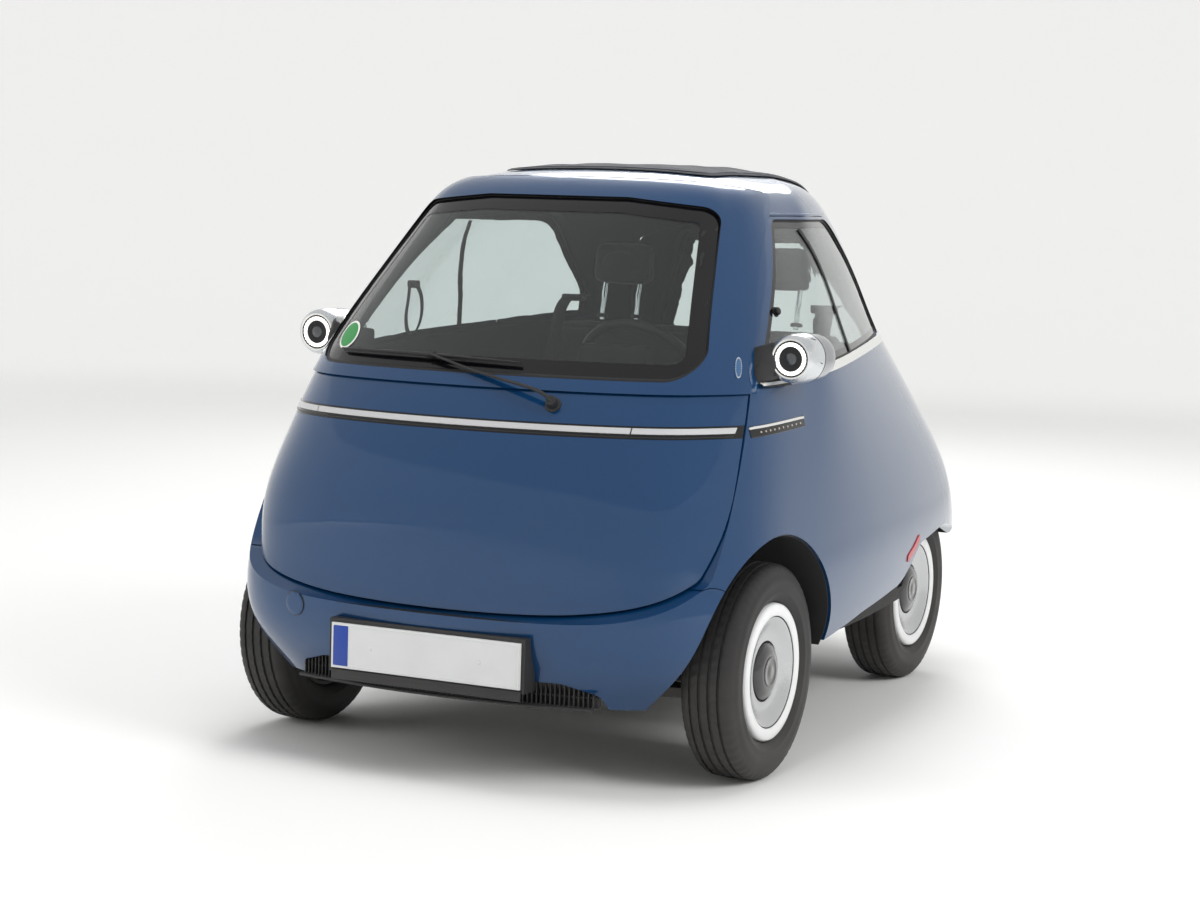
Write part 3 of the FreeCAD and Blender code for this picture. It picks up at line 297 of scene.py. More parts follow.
@once
def painted(name, paint):
    """Metallic paint under clear coat outside, and dark lining on the faces that look into the cabin."""
    made, nodes, shader = blank(name)
    place = nodes.add("TexCoord")
    from_cabin = nodes.add("VectorMath", {0: place.outputs["Object"], 1: CABIN_MIDDLE}, operation="SUBTRACT")
    facing = nodes.add("VectorMath", {0: from_cabin.outputs[0], 1: place.outputs["Normal"]}, operation="DOT_PRODUCT")
    inside = nodes.math("LESS_THAN", facing.outputs["Value"], -0.05)
    outside = nodes.math("SUBTRACT", 1.0, inside)
    flake = nodes.noise(FLAKE_SCALE, 1.0)
    bright = tuple(min(1.0, 1.5 * c + 0.004) for c in paint.body)
    flaked = nodes.mix(flake, solid(paint.body, 0.72), solid(bright))
    dusty = nodes.add("Group", {"Colour": flaked}, node_tree=dust_group())
    set_all(dusty, Amount=0.04, Top=0.55)
    nodes.put(shader.inputs["Base Color"], nodes.mix(inside, dusty.outputs["Colour"], solid(paint.lining)))
    gloss = nodes.math("ADD", 0.30, nodes.math("MULTIPLY", flake, 0.10))
    matt = nodes.math("ADD", 0.62, nodes.math("MULTIPLY", nodes.noise(500.0), 0.2))
    nodes.put(shader.inputs["Roughness"], nodes.math("ADD", nodes.math("MULTIPLY", gloss, outside),
                                                    nodes.math("MULTIPLY", matt, inside)))
    nodes.put(shader.inputs["Metallic"], nodes.math("MULTIPLY", outside, paint.metallic))
    nodes.put(shader.inputs["Coat Weight"], outside)
    set_all(shader, Coat_Roughness=0.025, Specular_IOR_Level=0.15)
    wave = nodes.add("Bump", {"Height": nodes.noise(60.0, 2.0), "Distance": paint.orange_peel, "Strength": 0.4})
    nodes.put(shader.inputs["Normal"], wave.outputs["Normal"])
    return made


@once
def glass(name, first, second):
    """Clear glass, slightly tinted and uneven between two colours."""
    made, nodes, shader = blank(name)
    smear = nodes.noise(9.0, 5.0)
    nodes.put(shader.inputs["Base Color"], nodes.mix(smear, solid(first), solid(second)))
    nodes.put(shader.inputs["Roughness"], nodes.math("MULTIPLY", smear, 0.03))
    set_all(shader, Transmission_Weight=1.0, IOR=1.45)
    return made


@once
def cloth(name, warp, weft, threads, relief, sheen):
    """Woven cloth of two threads."""
    made, nodes, shader = blank(name)
    woven = nodes.add("Group", node_tree=weave_group())
    set_all(woven, Threads=threads, Warp=solid(warp), Weft=solid(weft))
    nodes.put(shader.inputs["Base Color"], woven.outputs["Colour"])
    rough = nodes.math("ADD", 0.78, nodes.math("MULTIPLY", nodes.noise(30.0), 0.2), clamp=True)
    nodes.put(shader.inputs["Roughness"], rough)
    bump = nodes.add("Bump", {"Height": woven.outputs["Height"], "Distance": relief, "Strength": 0.7})
    nodes.put(shader.inputs["Normal"], bump.outputs["Normal"])
    set_all(shader, Sheen_Weight=sheen)
    return made


@once
def lit(name, rgb, strength):
    """A lens that glows."""
    made, nodes, shader = blank(name)
    cells = nodes.noise(400.0, 1.0)
    nodes.put(shader.inputs["Base Color"], nodes.mix(cells, solid(rgb), solid(rgb, 0.85)))
    set_all(shader, Emission_Color=solid(rgb), Emission_Strength=strength, Roughness=0.35)
    return made


def body_paint():
    return painted("Body paint", looks().paint)


def window_glass():
    return glass("Window glass", (0.80, 0.87, 0.86), (0.84, 0.90, 0.89))


def rubber():
    return finish("Tyre rubber", looks().wheels.rubber, 0.62, grain=1500.0, spread=0.2, relief=0.00008, dust=0.28,
                  top=0.75)


def seal_rubber():
    return finish("Seal rubber", (0.010, 0.010, 0.011), 0.48, grain=1100.0)


def gloss_black():
    return finish("Gloss black", (0.004, 0.004, 0.005), 0.14, coat=0.5, spread=0.05, relief=0.00001, dust=0.03,
                  specular=0.2)


def matt_black():
    return finish("Grained black plastic", (0.016, 0.016, 0.017), 0.52, grain=1300.0, spread=0.14, relief=0.00010)


def bright_metal():
    return finish("Bright trim", looks().trims.bright, 0.30, metallic=0.85, grain=300.0, spread=0.12, relief=0.00001,
                  dust=0.05)


def chrome():
    return finish("Polished chrome", (0.80, 0.81, 0.82), 0.06, metallic=1.0, spread=0.05, relief=0.000005, dust=0.03)


def satin_silver():
    return finish("Satin silver", (0.68, 0.70, 0.72), 0.27, metallic=0.9, grain=400.0, spread=0.1, relief=0.00001)


def steel():
    return finish("Painted steel", (0.030, 0.030, 0.032), 0.45, metallic=0.3, grain=500.0, spread=0.25, dust=0.6,
                  top=0.6)


def lining():
    return finish("Cabin trim", (0.030, 0.031, 0.034), 0.66, grain=1100.0, spread=0.12, relief=0.00018, dust=0.05)


def seat_fabric():
    cabin = looks().cabin
    return cloth("Seat cloth", cabin.fabric, cabin.yarn, 420.0, 0.00020, 0.35)


# Meshes

class Build:
    """Collects the parts of one piece, each with its place in the piece's list of materials."""

    def __init__(self):
        self.points, self.faces, self.kinds = [], [], []

    def add(self, part, kind=0, sides=(LEFT,)):
        """A part is (points, faces); it is repeated as its mirror image where sides says so."""
        for side in sides:
            first = len(self.points)
            self.points += [Vector((p[0] * side, p[1], p[2])) for p in part[0]]
            self.faces += [[first + i for i in face] for face in part[1]]
            self.kinds += [kind] * len(part[1])
        return self

    def piece(self, name, body, materials, slot=None, sharp=32, stands_for=()):
        mesh = bpy.data.meshes.new(name)
        mesh.from_pydata(self.points, [], self.faces)
        for made in materials:
            mesh.materials.append(made)
        for polygon, kind in zip(mesh.polygons, self.kinds):
            polygon.material_index = kind
        tidy = bmesh.new()
        tidy.from_mesh(mesh)
        bmesh.ops.remove_doubles(tidy, verts=tidy.verts, dist=0.000001)
        bmesh.ops.dissolve_degenerate(tidy, edges=tidy.edges, dist=0.000001)
        bmesh.ops.recalc_face_normals(tidy, faces=tidy.faces)
        tidy.to_mesh(mesh)
        tidy.free()
        mesh.shade_smooth()
        mesh.set_sharp_from_angle(angle=math.radians(sharp))
        made = bpy.data.objects.new(name, mesh)
        bpy.context.scene.collection.objects.link(made)
        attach(made, body)
        if stands_for:
            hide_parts(*stands_for)
        return made


def net(rows, around=True, closed=False, lids=False):
    """Quads between rows of points: around joins each row's ends, closed joins the last row to the first."""
    wide, count = len(rows[0]), len(rows)
    faces = []
    for i in range(count if closed else count - 1):
        for j in range(wide if around else wide - 1):
            k, m = (i + 1) % count, (j + 1) % wide
            faces.append((i * wide + j, i * wide + m, k * wide + m, k * wide + j))
    if lids:
        faces.append(tuple(range(wide)))
        faces.append(tuple(range((count - 1) * wide, count * wide)))
    return [p for row in rows for p in row], faces


def axis_place(centre, axis):
    """A place whose Z runs along axis."""
    return Matrix.Translation(centre) @ Vector(axis).to_track_quat("Z", "Y").to_matrix().to_4x4()


def round_angles(steps):
    return [2 * math.pi * i / steps for i in range(steps)]


def polar(radius, angle, height=0.0):
    return Vector((radius * math.cos(angle), radius * math.sin(angle), height))


def turned(section, place, steps=64, ring=False):
    """(radius, along) corners turned about the place's Z; ring is a section that closes on itself."""
    rows = [[place @ polar(r, angle, h) for r, h in section] for angle in round_angles(steps)]
    return net(rows, around=ring, closed=True)


def tube(path, radius, sides=10, closed=False, flat=1.0, up=(0, 0, 1)):
    """A round bar along a path; flat squeezes it across up."""
    path = [Vector(p) for p in path]
    count = len(path)
    rows = []
    for i, here in enumerate(path):
        back = path[i - 1] if closed or i else here
        ahead = path[(i + 1) % count] if closed or i < count - 1 else here
        way = (ahead - back).normalized()
        side = way.cross(Vector(up)).normalized()
        rise = side.cross(way)
        size = radius[i] if isinstance(radius, (list, tuple)) else radius
        rows.append([here + side * size * math.cos(t) + rise * size * flat * math.sin(t) for t in round_angles(sides)])
    return net(rows, closed=closed, lids=not closed)


def block(low, high, edge, place=None, segments=2):
    """A box with rounded edges, between two corners of the place's own frame."""
    low, high = Vector(low), Vector(high)
    made = bmesh.new()
    bmesh.ops.create_cube(made, size=1.0)
    for vertex in made.verts:
        vertex.co = [low[i] + (vertex.co[i] + 0.5) * (high[i] - low[i]) for i in range(3)]
    bmesh.ops.bevel(made, geom=made.edges[:], offset=edge, segments=segments, profile=0.5, affect="EDGES")
    made.verts.ensure_lookup_table()
    points = [(place @ v.co) if place else v.co.copy() for v in made.verts]
    faces = [[v.index for v in face.verts] for face in made.faces]
    made.free()
    return points, faces


def smooth_path(points, steps):
    """A curve through points: steps parts between each two."""
    points = [Vector(p) for p in points]
    ends = [points[0] * 2 - points[1]] + points + [points[-1] * 2 - points[-2]]
    made = []
    for i in range(1, len(ends) - 2):
        a, b, c, d = ends[i - 1:i + 3]
        for k in range(steps):
            t = k / steps
            made.append(0.5 * (2 * b + (c - a) * t + (2 * a - 5 * b + 4 * c - d) * t * t
                               + (3 * b - 3 * c + d - a) * t ** 3))
    return made + [points[-1]]


def rounded(corners, arc_steps=8, spacing=0.02):
    """Points along a closed outline of (a, b, radius) corners."""
    made = []
    count = len(corners)
    for i, (a, b, radius) in enumerate(corners):
        here = Vector((a, b))
        back = (Vector(corners[i - 1][:2]) - here).normalized()
        ahead = (Vector(corners[(i + 1) % count][:2]) - here).normalized()
        if radius == 0:
            made.append(here)
            continue
        half = back.angle(ahead) / 2
        centre = here + (back + ahead).normalized() * (radius / math.sin(half))
        start, end = here + back * (radius / math.tan(half)), here + ahead * (radius / math.tan(half))
        first = math.atan2(start.y - centre.y, start.x - centre.x)
        turn = (math.atan2(end.y - centre.y, end.x - centre.x) - first + math.pi) % (2 * math.pi) - math.pi
        for k in range(arc_steps + 1):
            angle = first + turn * k / arc_steps
            made.append(centre + Vector((math.cos(angle), math.sin(angle))) * radius)
    full = []
    for i, here in enumerate(made):
        ahead = made[(i + 1) % len(made)]
        parts = max(1, round((ahead - here).length / spacing))
        full += [here.lerp(ahead, k / parts) for k in range(parts)]
    return full


def grown(outline, distance):
    """A closed outline moved outwards by a distance."""
    count = len(outline)
    area = sum(outline[i - 1].x * outline[i].y - outline[i].x * outline[i - 1].y for i in range(count))
    sign = 1 if area > 0 else -1
    made = []
    for i, here in enumerate(outline):
        along = (outline[(i + 1) % count] - outline[i - 1]).normalized()
        made.append(here + Vector((along.y, -along.x)) * distance * sign)
    return made


class Skin:
    """The outer faces of some CAD nodes or pieces, to lay trims on."""

    def __init__(self, *things):
        points, faces = [], []
        for thing in things:
            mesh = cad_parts[thing].data if isinstance(thing, str) else thing.data
            first = len(points)
            points += [v.co.copy() for v in mesh.vertices]
            faces += [[first + i for i in polygon.vertices] for polygon in mesh.polygons]
        self.tree = BVHTree.FromPolygons(points, faces)

    def meet(self, start, way, reach=0.009, level=0.0035):
        """The skin's point and outward normal on a ray, carried on over a gap or an opening's edge."""
        side = way.orthogonal().normalized()
        up = way.cross(side).normalized()
        hits = []
        for a, b in ((0, 0), (1, 0), (-1, 0), (0, 1), (0, -1)):
            spot, normal, _, far = self.tree.ray_cast(start + side * a * reach + up * b * reach, way)
            if spot is not None:
                hits.append((far, spot, normal, (a, b) == (0, 0)))
        if not hits:
            return self.meet(start, way, reach * 2, level) if reach < 0.05 else None
        closest = min(hits, key=lambda hit: hit[0])
        straight = [hit for hit in hits if hit[3] and hit[0] - closest[0] < level]
        _, spot, normal, _ = straight[0] if straight else closest
        if normal.dot(way) > 0:
            normal = -normal
        run = (spot - start).dot(normal) / way.dot(normal)
        return start + way * run, normal

    def over(self, lift, start, way):
        """The point that stands above the skin where a ray meets it."""
        met = self.meet(start, way)
        if met is None:
            raise RuntimeError("a trim leaves the skin at %s" % start)
        return met[0] + met[1] * lift


def from_side(a, b):
    return Vector((FAR, a, b)), Vector((-1, 0, 0))


def from_front(a, b):
    return Vector((a, -FAR, b)), Vector((0, 1, 0))


def from_back(a, b):
    return Vector((a, FAR, b)), Vector((0, -1, 0))


def from_above(a, b):
    return Vector((a, b, FAR)), Vector((0, 0, -1))


def band(skin, outline, profile, view):
    """A closed trim along an outline; profile is (outwards in the outline's plane, above the skin) corners."""
    rows = [[skin.over(lift, *view(a, b)) for a, b in grown(outline, out)] for out, lift in profile]
    return net(rows, around=True, closed=True)


def strip(skin, stations, profile, across=(0, 0, 1), sizes=None):
    """An open trim: each station is (start, way) of a ray, profile is (along across, above the skin) corners."""
    rows = []
    for (start, way), size in zip(stations, sizes or [1.0] * len(stations)):
        rows.append([skin.over(lift, start + Vector(across) * rise * size, way) for rise, lift in profile])
    return net(rows, lids=True)


def flat_profile(low, high, top, foot=0.0, soft=0.0008):
    """A low bar's section between two rises."""
    return ((low, foot), (low, top - soft), (low + soft, top), (high - soft, top), (high, top - soft),
            (high, foot))


def disc(skin, centre, radius, lift, view, thick=0.0006, steps=32):
    """A thin round patch on the skin."""
    rows = []
    for portion, rise in ((0.0, lift + thick), (0.6, lift + thick), (0.97, lift + thick), (1.0, lift + thick * 0.6),
                          (1.0, lift - thick)):
        spots = [polar(radius * portion, angle) for angle in round_angles(steps)]
        rows.append([skin.over(rise, *view(centre[0] + p.x, centre[1] + p.y)) for p in spots])
    return net(rows)


def paint_nodes(material, *names):
    """Give CAD nodes a material."""
    for name in names:
        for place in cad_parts[name].material_slots:
            place.material = material


# Wheels

WHEELS = (("front_left", LEFT), ("front_right", RIGHT), ("rear_left", LEFT), ("rear_right", RIGHT))


def wheel_place(name, side):
    """Middle of a wheel with Z out of the car's side, its radius and half its width."""
    low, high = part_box("tyre_" + name)
    radius = (high.y - low.y) / 2
    centre = Vector(((low.x + high.x) / 2, (low.y + high.y) / 2, radius))
    return axis_place(centre, (side, 0, 0)), radius, (high.x - low.x) / 2


def tread_section(radius, half, bead, groove):
    """(radius, along, cut) corners round a tyre; cut marks the rubber that the sipes cross."""
    def crown(h):
        return radius - 0.0026 * (h / (0.69 * half)) ** 2

    wall = [(bead, 0.70 * half, 0), (bead + 0.004, 0.80 * half, 0), (bead + 0.012, 0.89 * half, 0),
            (bead + 0.022, 0.955 * half, 0), (bead + 0.024, 0.975 * half, 0), (bead + 0.028, 0.975 * half, 0),
            (bead + 0.030, 0.965 * half, 0), (radius - 0.050, half, 0), (radius - 0.036, 0.985 * half, 0),
            (radius - 0.034, 0.965 * half, 0), (radius - 0.022, 0.925 * half, 0), (radius - 0.014, 0.875 * half, 1),
            (radius - 0.007, 0.79 * half, 1), (radius - 0.0032, 0.69 * half, 1)]
    top = []
    for mid, wide in ((0.50, 0.0075), (0.17, 0.0085)):
        at = mid * half
        top += [(at + wide / 2 + 0.006, 0, 1), (at + wide / 2, 0, 1), (at + wide / 2 - 0.0014, groove * 0.85, 0),
                (at, groove, 0), (at - wide / 2 + 0.0014, groove * 0.85, 0), (at - wide / 2, 0, 1),
                (at - wide / 2 - 0.005, 0, 1)]
    top = [(crown(h) - deep, h, cut) for h, deep, cut in top]
    outer_half = wall + top
    return outer_half + [(r, -h, cut) for r, h, cut in reversed(outer_half)]


def tyre(name, side):
    place, radius, half = wheel_place(name, side)
    wheels = looks().wheels
    low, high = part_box("rim_" + name)
    bead = (high.y - low.y) / 2 + 0.0003
    section = tread_section(radius, half, bead, wheels.groove_depth)
    rows = []
    for i, angle in enumerate(round_angles(wheels.sipes * 4)):
        row = []
        for r, h, cut in section:
            shift = 2 if abs(h) < 0.35 * half else 0  # the middle ribs' cuts lie between the outer ribs'
            deep = wheels.sipe_depth if cut and (i + shift) % 4 == 0 else 0
            row.append(place @ polar(r - deep, angle, h))
        rows.append(row)
    Build().add(net(rows, closed=True)).piece("tyre_tread_" + name, "wheel_" + name, [rubber()], "tyre", 40,
                                              ["tyre_" + name])


def wheel_cover(name, side):
    """White outer ring, a groove between ring and dish in dark rubber as painted shade, silver dish on a dark barrel.
    """
    place = wheel_place(name, side)[0]
    low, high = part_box("rim_" + name)
    rim = (high.y - low.y) / 2
    ring = ((rim, 0.0520), (rim - 0.0004, 0.0590), (rim - 0.0022, 0.0640), (rim - 0.0060, 0.0670),
            (rim - 0.0120, 0.0679), (rim - 0.0200, 0.0676), (rim - 0.0290, 0.0660), (rim - 0.0316, 0.0646),
            (rim - 0.0322, 0.0630))
    # the real groove between ring and dish is coloured dark rubber: painted shade in the groove
    painted_shade_groove = ((rim - 0.0322, 0.0630), (rim - 0.0326, 0.0575), (rim - 0.0340, 0.0575), (rim - 0.0348, 0.0618))
    dish = ((rim - 0.0348, 0.0618), (rim - 0.0375, 0.0612), (rim - 0.0450, 0.0582), (rim - 0.0560, 0.0528),
            (rim - 0.0680, 0.0478), (rim - 0.0790, 0.0452), (rim - 0.0880, 0.0446), (rim - 0.0935, 0.0450),
            (rim - 0.0950, 0.0440), (rim - 0.0955, 0.0420), (rim - 0.0955, 0.0346))
    barrel = ((rim - 0.0955, 0.0346), (0.0220, 0.0346), (0.0220, -0.0060), (0.0440, -0.0060), (0.0580, 0.0240),
              (rim - 0.0090, 0.0260), (rim - 0.0090, -0.0522), (rim, -0.0522), (rim, 0.0520))
    build = Build()
    for kind, section in enumerate((ring, painted_shade_groove, dish, barrel)):
        build.add(turned(section, place, 120), kind)
    white = finish("Cover ring", looks().wheels.ring, 0.30, coat=0.4, grain=260.0, dust=0.30, top=0.6)
    silver = finish("Cover dish", looks().wheels.dish, 0.26, metallic=0.85, grain=320.0, dust=0.30, top=0.6)
    build.piece("wheel_cover_" + name, "wheel_" + name, [white, seal_rubber(), silver, steel()], "wheel_cover", 35,
                ["rim_" + name])


def hub_dome(name, side):
    """Black cap with plain turned steps."""
    section = ((0, 0.0604), (0.0120, 0.0606), (0.0135, 0.0600), (0.0310, 0.0598), (0.0325, 0.0606), (0.0355, 0.0606),
               (0.0375, 0.0598), (0.0382, 0.0586), (0.0400, 0.0588), (0.0480, 0.0572), (0.0600, 0.0530),
               (0.0665, 0.0488), (0.0694, 0.0460), (0.0706, 0.0436), (0.0706, 0.0349), (0, 0.0349))
    black = finish("Hub dome", (0.014, 0.014, 0.015), 0.16, metallic=0.2, coat=0.9, spread=0.06, dust=0.15, top=0.6)
    Build().add(turned(section, wheel_place(name, side)[0], 96)).piece(
        "hub_dome_" + name, "wheel_" + name, [black], "hub_cap", 40, ["hub_cap_" + name])


class MICROCAR_OT_wheels(Operator):
    """Treaded tyres, wheel covers and hub domes, each on its own wheel"""
    bl_idname = "microcar.wheels"
    bl_label = "Wheels"

    def execute(self, context):
        for name, side in WHEELS:
            tyre(name, side)
            wheel_cover(name, side)
            hub_dome(name, side)
        return {"FINISHED"}


# Lamp pods

def lamp_front():
    """Front point of the left lamp pod's axis, its radius and its length."""
    low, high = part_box("lamps")
    radius = (high.z - low.z) / 2
    return Vector((high.x - radius, low.y, (low.z + high.z) / 2)), radius, high.y - low.y


# finishes of a pod, in the order of its materials
BLACK, BEZEL, NOSE, JOINT, SHELL, MIRROR, LENS, GLOW = range(8)


class MICROCAR_OT_lamps(Operator):
    """Lamp pods with a ring of lit blocks in front and a mirror behind"""
    bl_idname = "microcar.lamps"
    bl_label = "Lamp pods"

    def execute(self, context):
        front, radius, depth = lamp_front()
        place = axis_place(front, (0, 1, 0))
        parts = (  # (radius, along) sections from the lens back to the mirror
            (((0, 0.0052), (0.022, 0.0050), (0.0300, 0.0046), (0.0435, 0.0040)), BLACK),
            (((0.0435, 0.0040), (0.0440, 0.0022), (0.0450, 0.0018)), BLACK),
            (((0.0450, 0.0018), (0.0456, 0.0006), (0.0470, 0.0000), (0.0488, 0.0000), (0.0500, 0.0010)), BEZEL),
            (((0.0500, 0.0010), (0.0518, 0.0024), (0.0555, 0.0062), (radius - 0.0030, 0.0130),
              (radius - 0.0010, 0.0250), (radius, 0.0450), (radius, 0.0760)), NOSE),
            (((radius, 0.0760), (radius - 0.0018, 0.0770), (radius - 0.0018, 0.0795), (radius, 0.0805)), JOINT),
            (((radius, 0.0805), (radius - 0.0003, 0.1050), (radius - 0.0012, 0.1280), (radius - 0.0032, 0.1480),
              (radius - 0.0060, depth - 0.006), (radius - 0.0090, depth - 0.001)), SHELL),
            (((radius - 0.0090, depth - 0.001), (radius - 0.0105, depth), (radius - 0.0120, depth - 0.002),
              (radius - 0.0135, depth - 0.005)), JOINT),
            (((radius - 0.0135, depth - 0.005), (0.020, depth - 0.0045), (0, depth - 0.0045)), MIRROR),
            (((0, 0.0005), (0.0060, 0.0008), (0.0110, 0.0018), (0.0145, 0.0034), (0.0152, 0.0050)), LENS))
        build = Build()
        for section, kind in parts:
            build.add(turned(section, place, 72), kind, BOTH)
        lamps = looks().lamps
        inner, outer = 0.0315, 0.0408
        half = 0.45 * 2 * math.pi / lamps.segments
        for k in range(lamps.segments):  # one lit block
            mid = 2 * math.pi * (k + 0.5) / lamps.segments
            block_outline = ((inner, mid - half), (outer - 0.0012, mid - half), (outer, mid - half * 0.5),
                             (outer, mid + half * 0.5), (outer - 0.0012, mid + half), (inner, mid + half),
                             (inner - 0.0008, mid))
            rows = [[place @ polar(r, a, h) for r, a in block_outline] for h in (0.0050, 0.0016)]
            build.add(net(rows, lids=True), GLOW, BOTH)
        for turn, portion in ((math.radians(52), 1.0), (math.radians(-8), 0.8)):  # wedge marks on the shell's side
            spot = front + Vector((radius * math.cos(turn), 0.052, radius * math.sin(turn)))
            out = Vector((math.cos(turn), 0, math.sin(turn)))
            side = Vector((0, 1, 0)).cross(out)
            rows = [[spot + out * rise + Vector((0, a, 0)) * portion + side * b * portion for a, b in
                     ((-0.010, -0.0035), (0.010, 0.0005), (0.008, 0.0035))] for rise in (-0.0015, 0.0008)]
            build.add(net(rows, lids=True), JOINT, BOTH)
        smoked = finish("Smoked chrome", (0.36, 0.37, 0.39), 0.14, metallic=1.0, grain=300.0, spread=0.08,
                        relief=0.00001, dust=0.05)
        lens = finish("Lamp lens", (0.05, 0.055, 0.06), 0.05, metallic=0.2, coat=1.0, spread=0.03, relief=0.000005,
                      dust=0.0)
        materials = [gloss_black(), bright_metal(), satin_silver(), seal_rubber(), smoked, chrome(), lens,
                     lit("Lamp ring", lamps.light, lamps.glow)]
        build.piece("lamp_pods", "shell", materials, "lamp_chrome", 34, ["lamps"])
        return {"FINISHED"}


class MICROCAR_OT_lamp_stalks(Operator):
    """Chunky black stalks from the window's front corner to the lamp pods"""
    bl_idname = "microcar.lamp_stalks"
    bl_label = "Lamp stalks"

    def execute(self, context):
        stations = (  # x, then y from and to, z from and to, corner radius
            (0.560, -0.742, -0.606, 0.9560, 1.0500, 0.010), (0.602, -0.742, -0.606, 0.9560, 1.0560, 0.012),
            (0.618, -0.740, -0.600, 0.9570, 1.0620, 0.016), (0.630, -0.728, -0.590, 0.9640, 1.0680, 0.020),
            (0.640, -0.706, -0.580, 0.9760, 1.0700, 0.022), (0.655, -0.690, -0.575, 0.9860, 1.0680, 0.024))
        rows = []
        for x, y0, y1, z0, z1, r in stations:
            outline = rounded(((y0, z0, r), (y1, z0, r), (y1, z1 - 0.012, r), (y0 + 0.030, z1, r),
                               (y0, z1 - 0.050, r)), 6, 10)
            rows.append([Vector((x, y, z)) for y, z in outline])
        Build().add(net(rows, lids=True), 0, BOTH).piece("lamp_stalks", "shell", [matt_black()], "housing_plastic", 38)
        return {"FINISHED"}


# Trims on the body

def side_stations(points, steps=6):
    """Rays onto the left side along a curve of (y, z) points."""
    return [from_side(p.x, p.y) for p in smooth_path([(y, z, 0) for y, z in points], steps)]


def tapered(count, ends=(0.35, 0.8)):
    return [ends[min(i, count - 1 - i)] if min(i, count - 1 - i) < len(ends) else 1.0 for i in range(count)]


class MICROCAR_OT_belts(Operator):
    """Bright belts under the side windows and the light strip's ends on the wings"""
    bl_idname = "microcar.belts"
    bl_label = "Belts"

    def execute(self, context):
        trims = looks().trims
        skin = Skin("side_panel_left", "side_windows", "lamp_feet")
        stations = side_stations(BELT, 8)
        half = trims.belt_height / 2
        # slim on the lamp's foot, full height behind it
        slim = [0.32 + 0.68 * min(1.0, max(0.0, (start.y + 0.610) / 0.030)) for start, _ in stations]
        sizes = [min(pair) for pair in zip(slim, tapered(len(stations)))]
        part = strip(skin, stations, flat_profile(-half, half, trims.belt_rise), sizes=sizes)
        Build().add(part, 0, BOTH).piece("belt_trims", "shell", [bright_metal()], "lamp_chrome")
        wing = Skin("side_panel_left")
        stations = side_stations(FENDER_STRIP, 6)
        sizes = tapered(len(stations), (0.9,))
        build = Build()
        build.add(strip(wing, stations, flat_profile(-0.0135, 0.0135, 0.0016)), 0, BOTH)
        build.add(strip(wing, stations, flat_profile(0.0065, 0.0125, 0.0030), sizes=sizes), 1, BOTH)
        for start, way in stations[2:-1]:  # the flasher's pale dots on the dark lens
            place = axis_place(*wing.meet(start + Vector((0, 0, -0.0030)), way))
            build.add(block((-0.0034, -0.0024, 0.0012), (0.0034, 0.0024, 0.0021), 0.0004, place), 2, BOTH)
        dots = finish("Amber lens", (0.34, 0.30, 0.24), 0.2, coat=0.6)
        build.piece("wing_light_strips", "shell", [gloss_black(), bright_metal(), dots], "light_bar")
        return {"FINISHED"}


class MICROCAR_OT_light_strip(Operator):
    """Frosted bar over a thin dark line on the door's light strip, and the red strip on the tailgate"""
    bl_idname = "microcar.light_strip"
    bl_label = "Light strips"

    def execute(self, context):
        paint_nodes(gloss_black(), "light_bar")
        low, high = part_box("light_bar")
        z = (low.z + high.z) / 2
        skin = Skin("light_bar")
        build = Build()
        for first, last, steps in ((-0.4345, 0.4345, 30), (-0.617, -0.4375, 9), (0.4375, 0.617, 9)):
            stations = [from_front(first + (last - first) * k / steps, z) for k in range(steps + 1)]
            build.add(strip(skin, stations, flat_profile(-0.0035, 0.0100, 0.0030, soft=0.0012)), 0)
            build.add(strip(skin, stations, flat_profile(-0.0115, -0.0095, 0.0012, soft=0.0004)), 1)
        build.piece("front_light_strip", "door",
                    [finish("Frosted bar", (0.56, 0.56, 0.57), 0.38, metallic=0.35, coat=0.6, grain=240.0), steel()],
                    "light_bar")
        red = finish("Red lens", (0.26, 0.006, 0.008), 0.10, coat=1.0, spread=0.05, relief=0.00001, dust=0.1)
        paint_nodes(red, "rear_light_bar")
        low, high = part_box("rear_light_bar")
        skin = Skin("rear_light_bar")
        z, half = (low.z + high.z) / 2, high.x - 0.020
        stations = [from_back(-half + 2 * half * k / 30, z) for k in range(31)]
        build = Build().add(strip(skin, stations, flat_profile(-0.0060, 0.0060, 0.0014)), 0)
        for rise in (-0.0125, 0.0125):
            build.add(strip(skin, stations, flat_profile(rise - 0.0010, rise + 0.0010, 0.0014, soft=0.0004)), 1)
        build.piece("rear_light_strip", "tailgate", [lit("Red glow", (0.85, 0.03, 0.03), 0.15), chrome()], "light_bar")
        return {"FINISHED"}


SEAL_SECTION = ((-0.0065, -0.0020), (-0.0065, 0.0012), (-0.0045, 0.0024), (0.0010, 0.0030), (0.0040, 0.0016),
                (0.0050, -0.0020))
PRINT_RISE = 0.0003  # printed borders above the glass


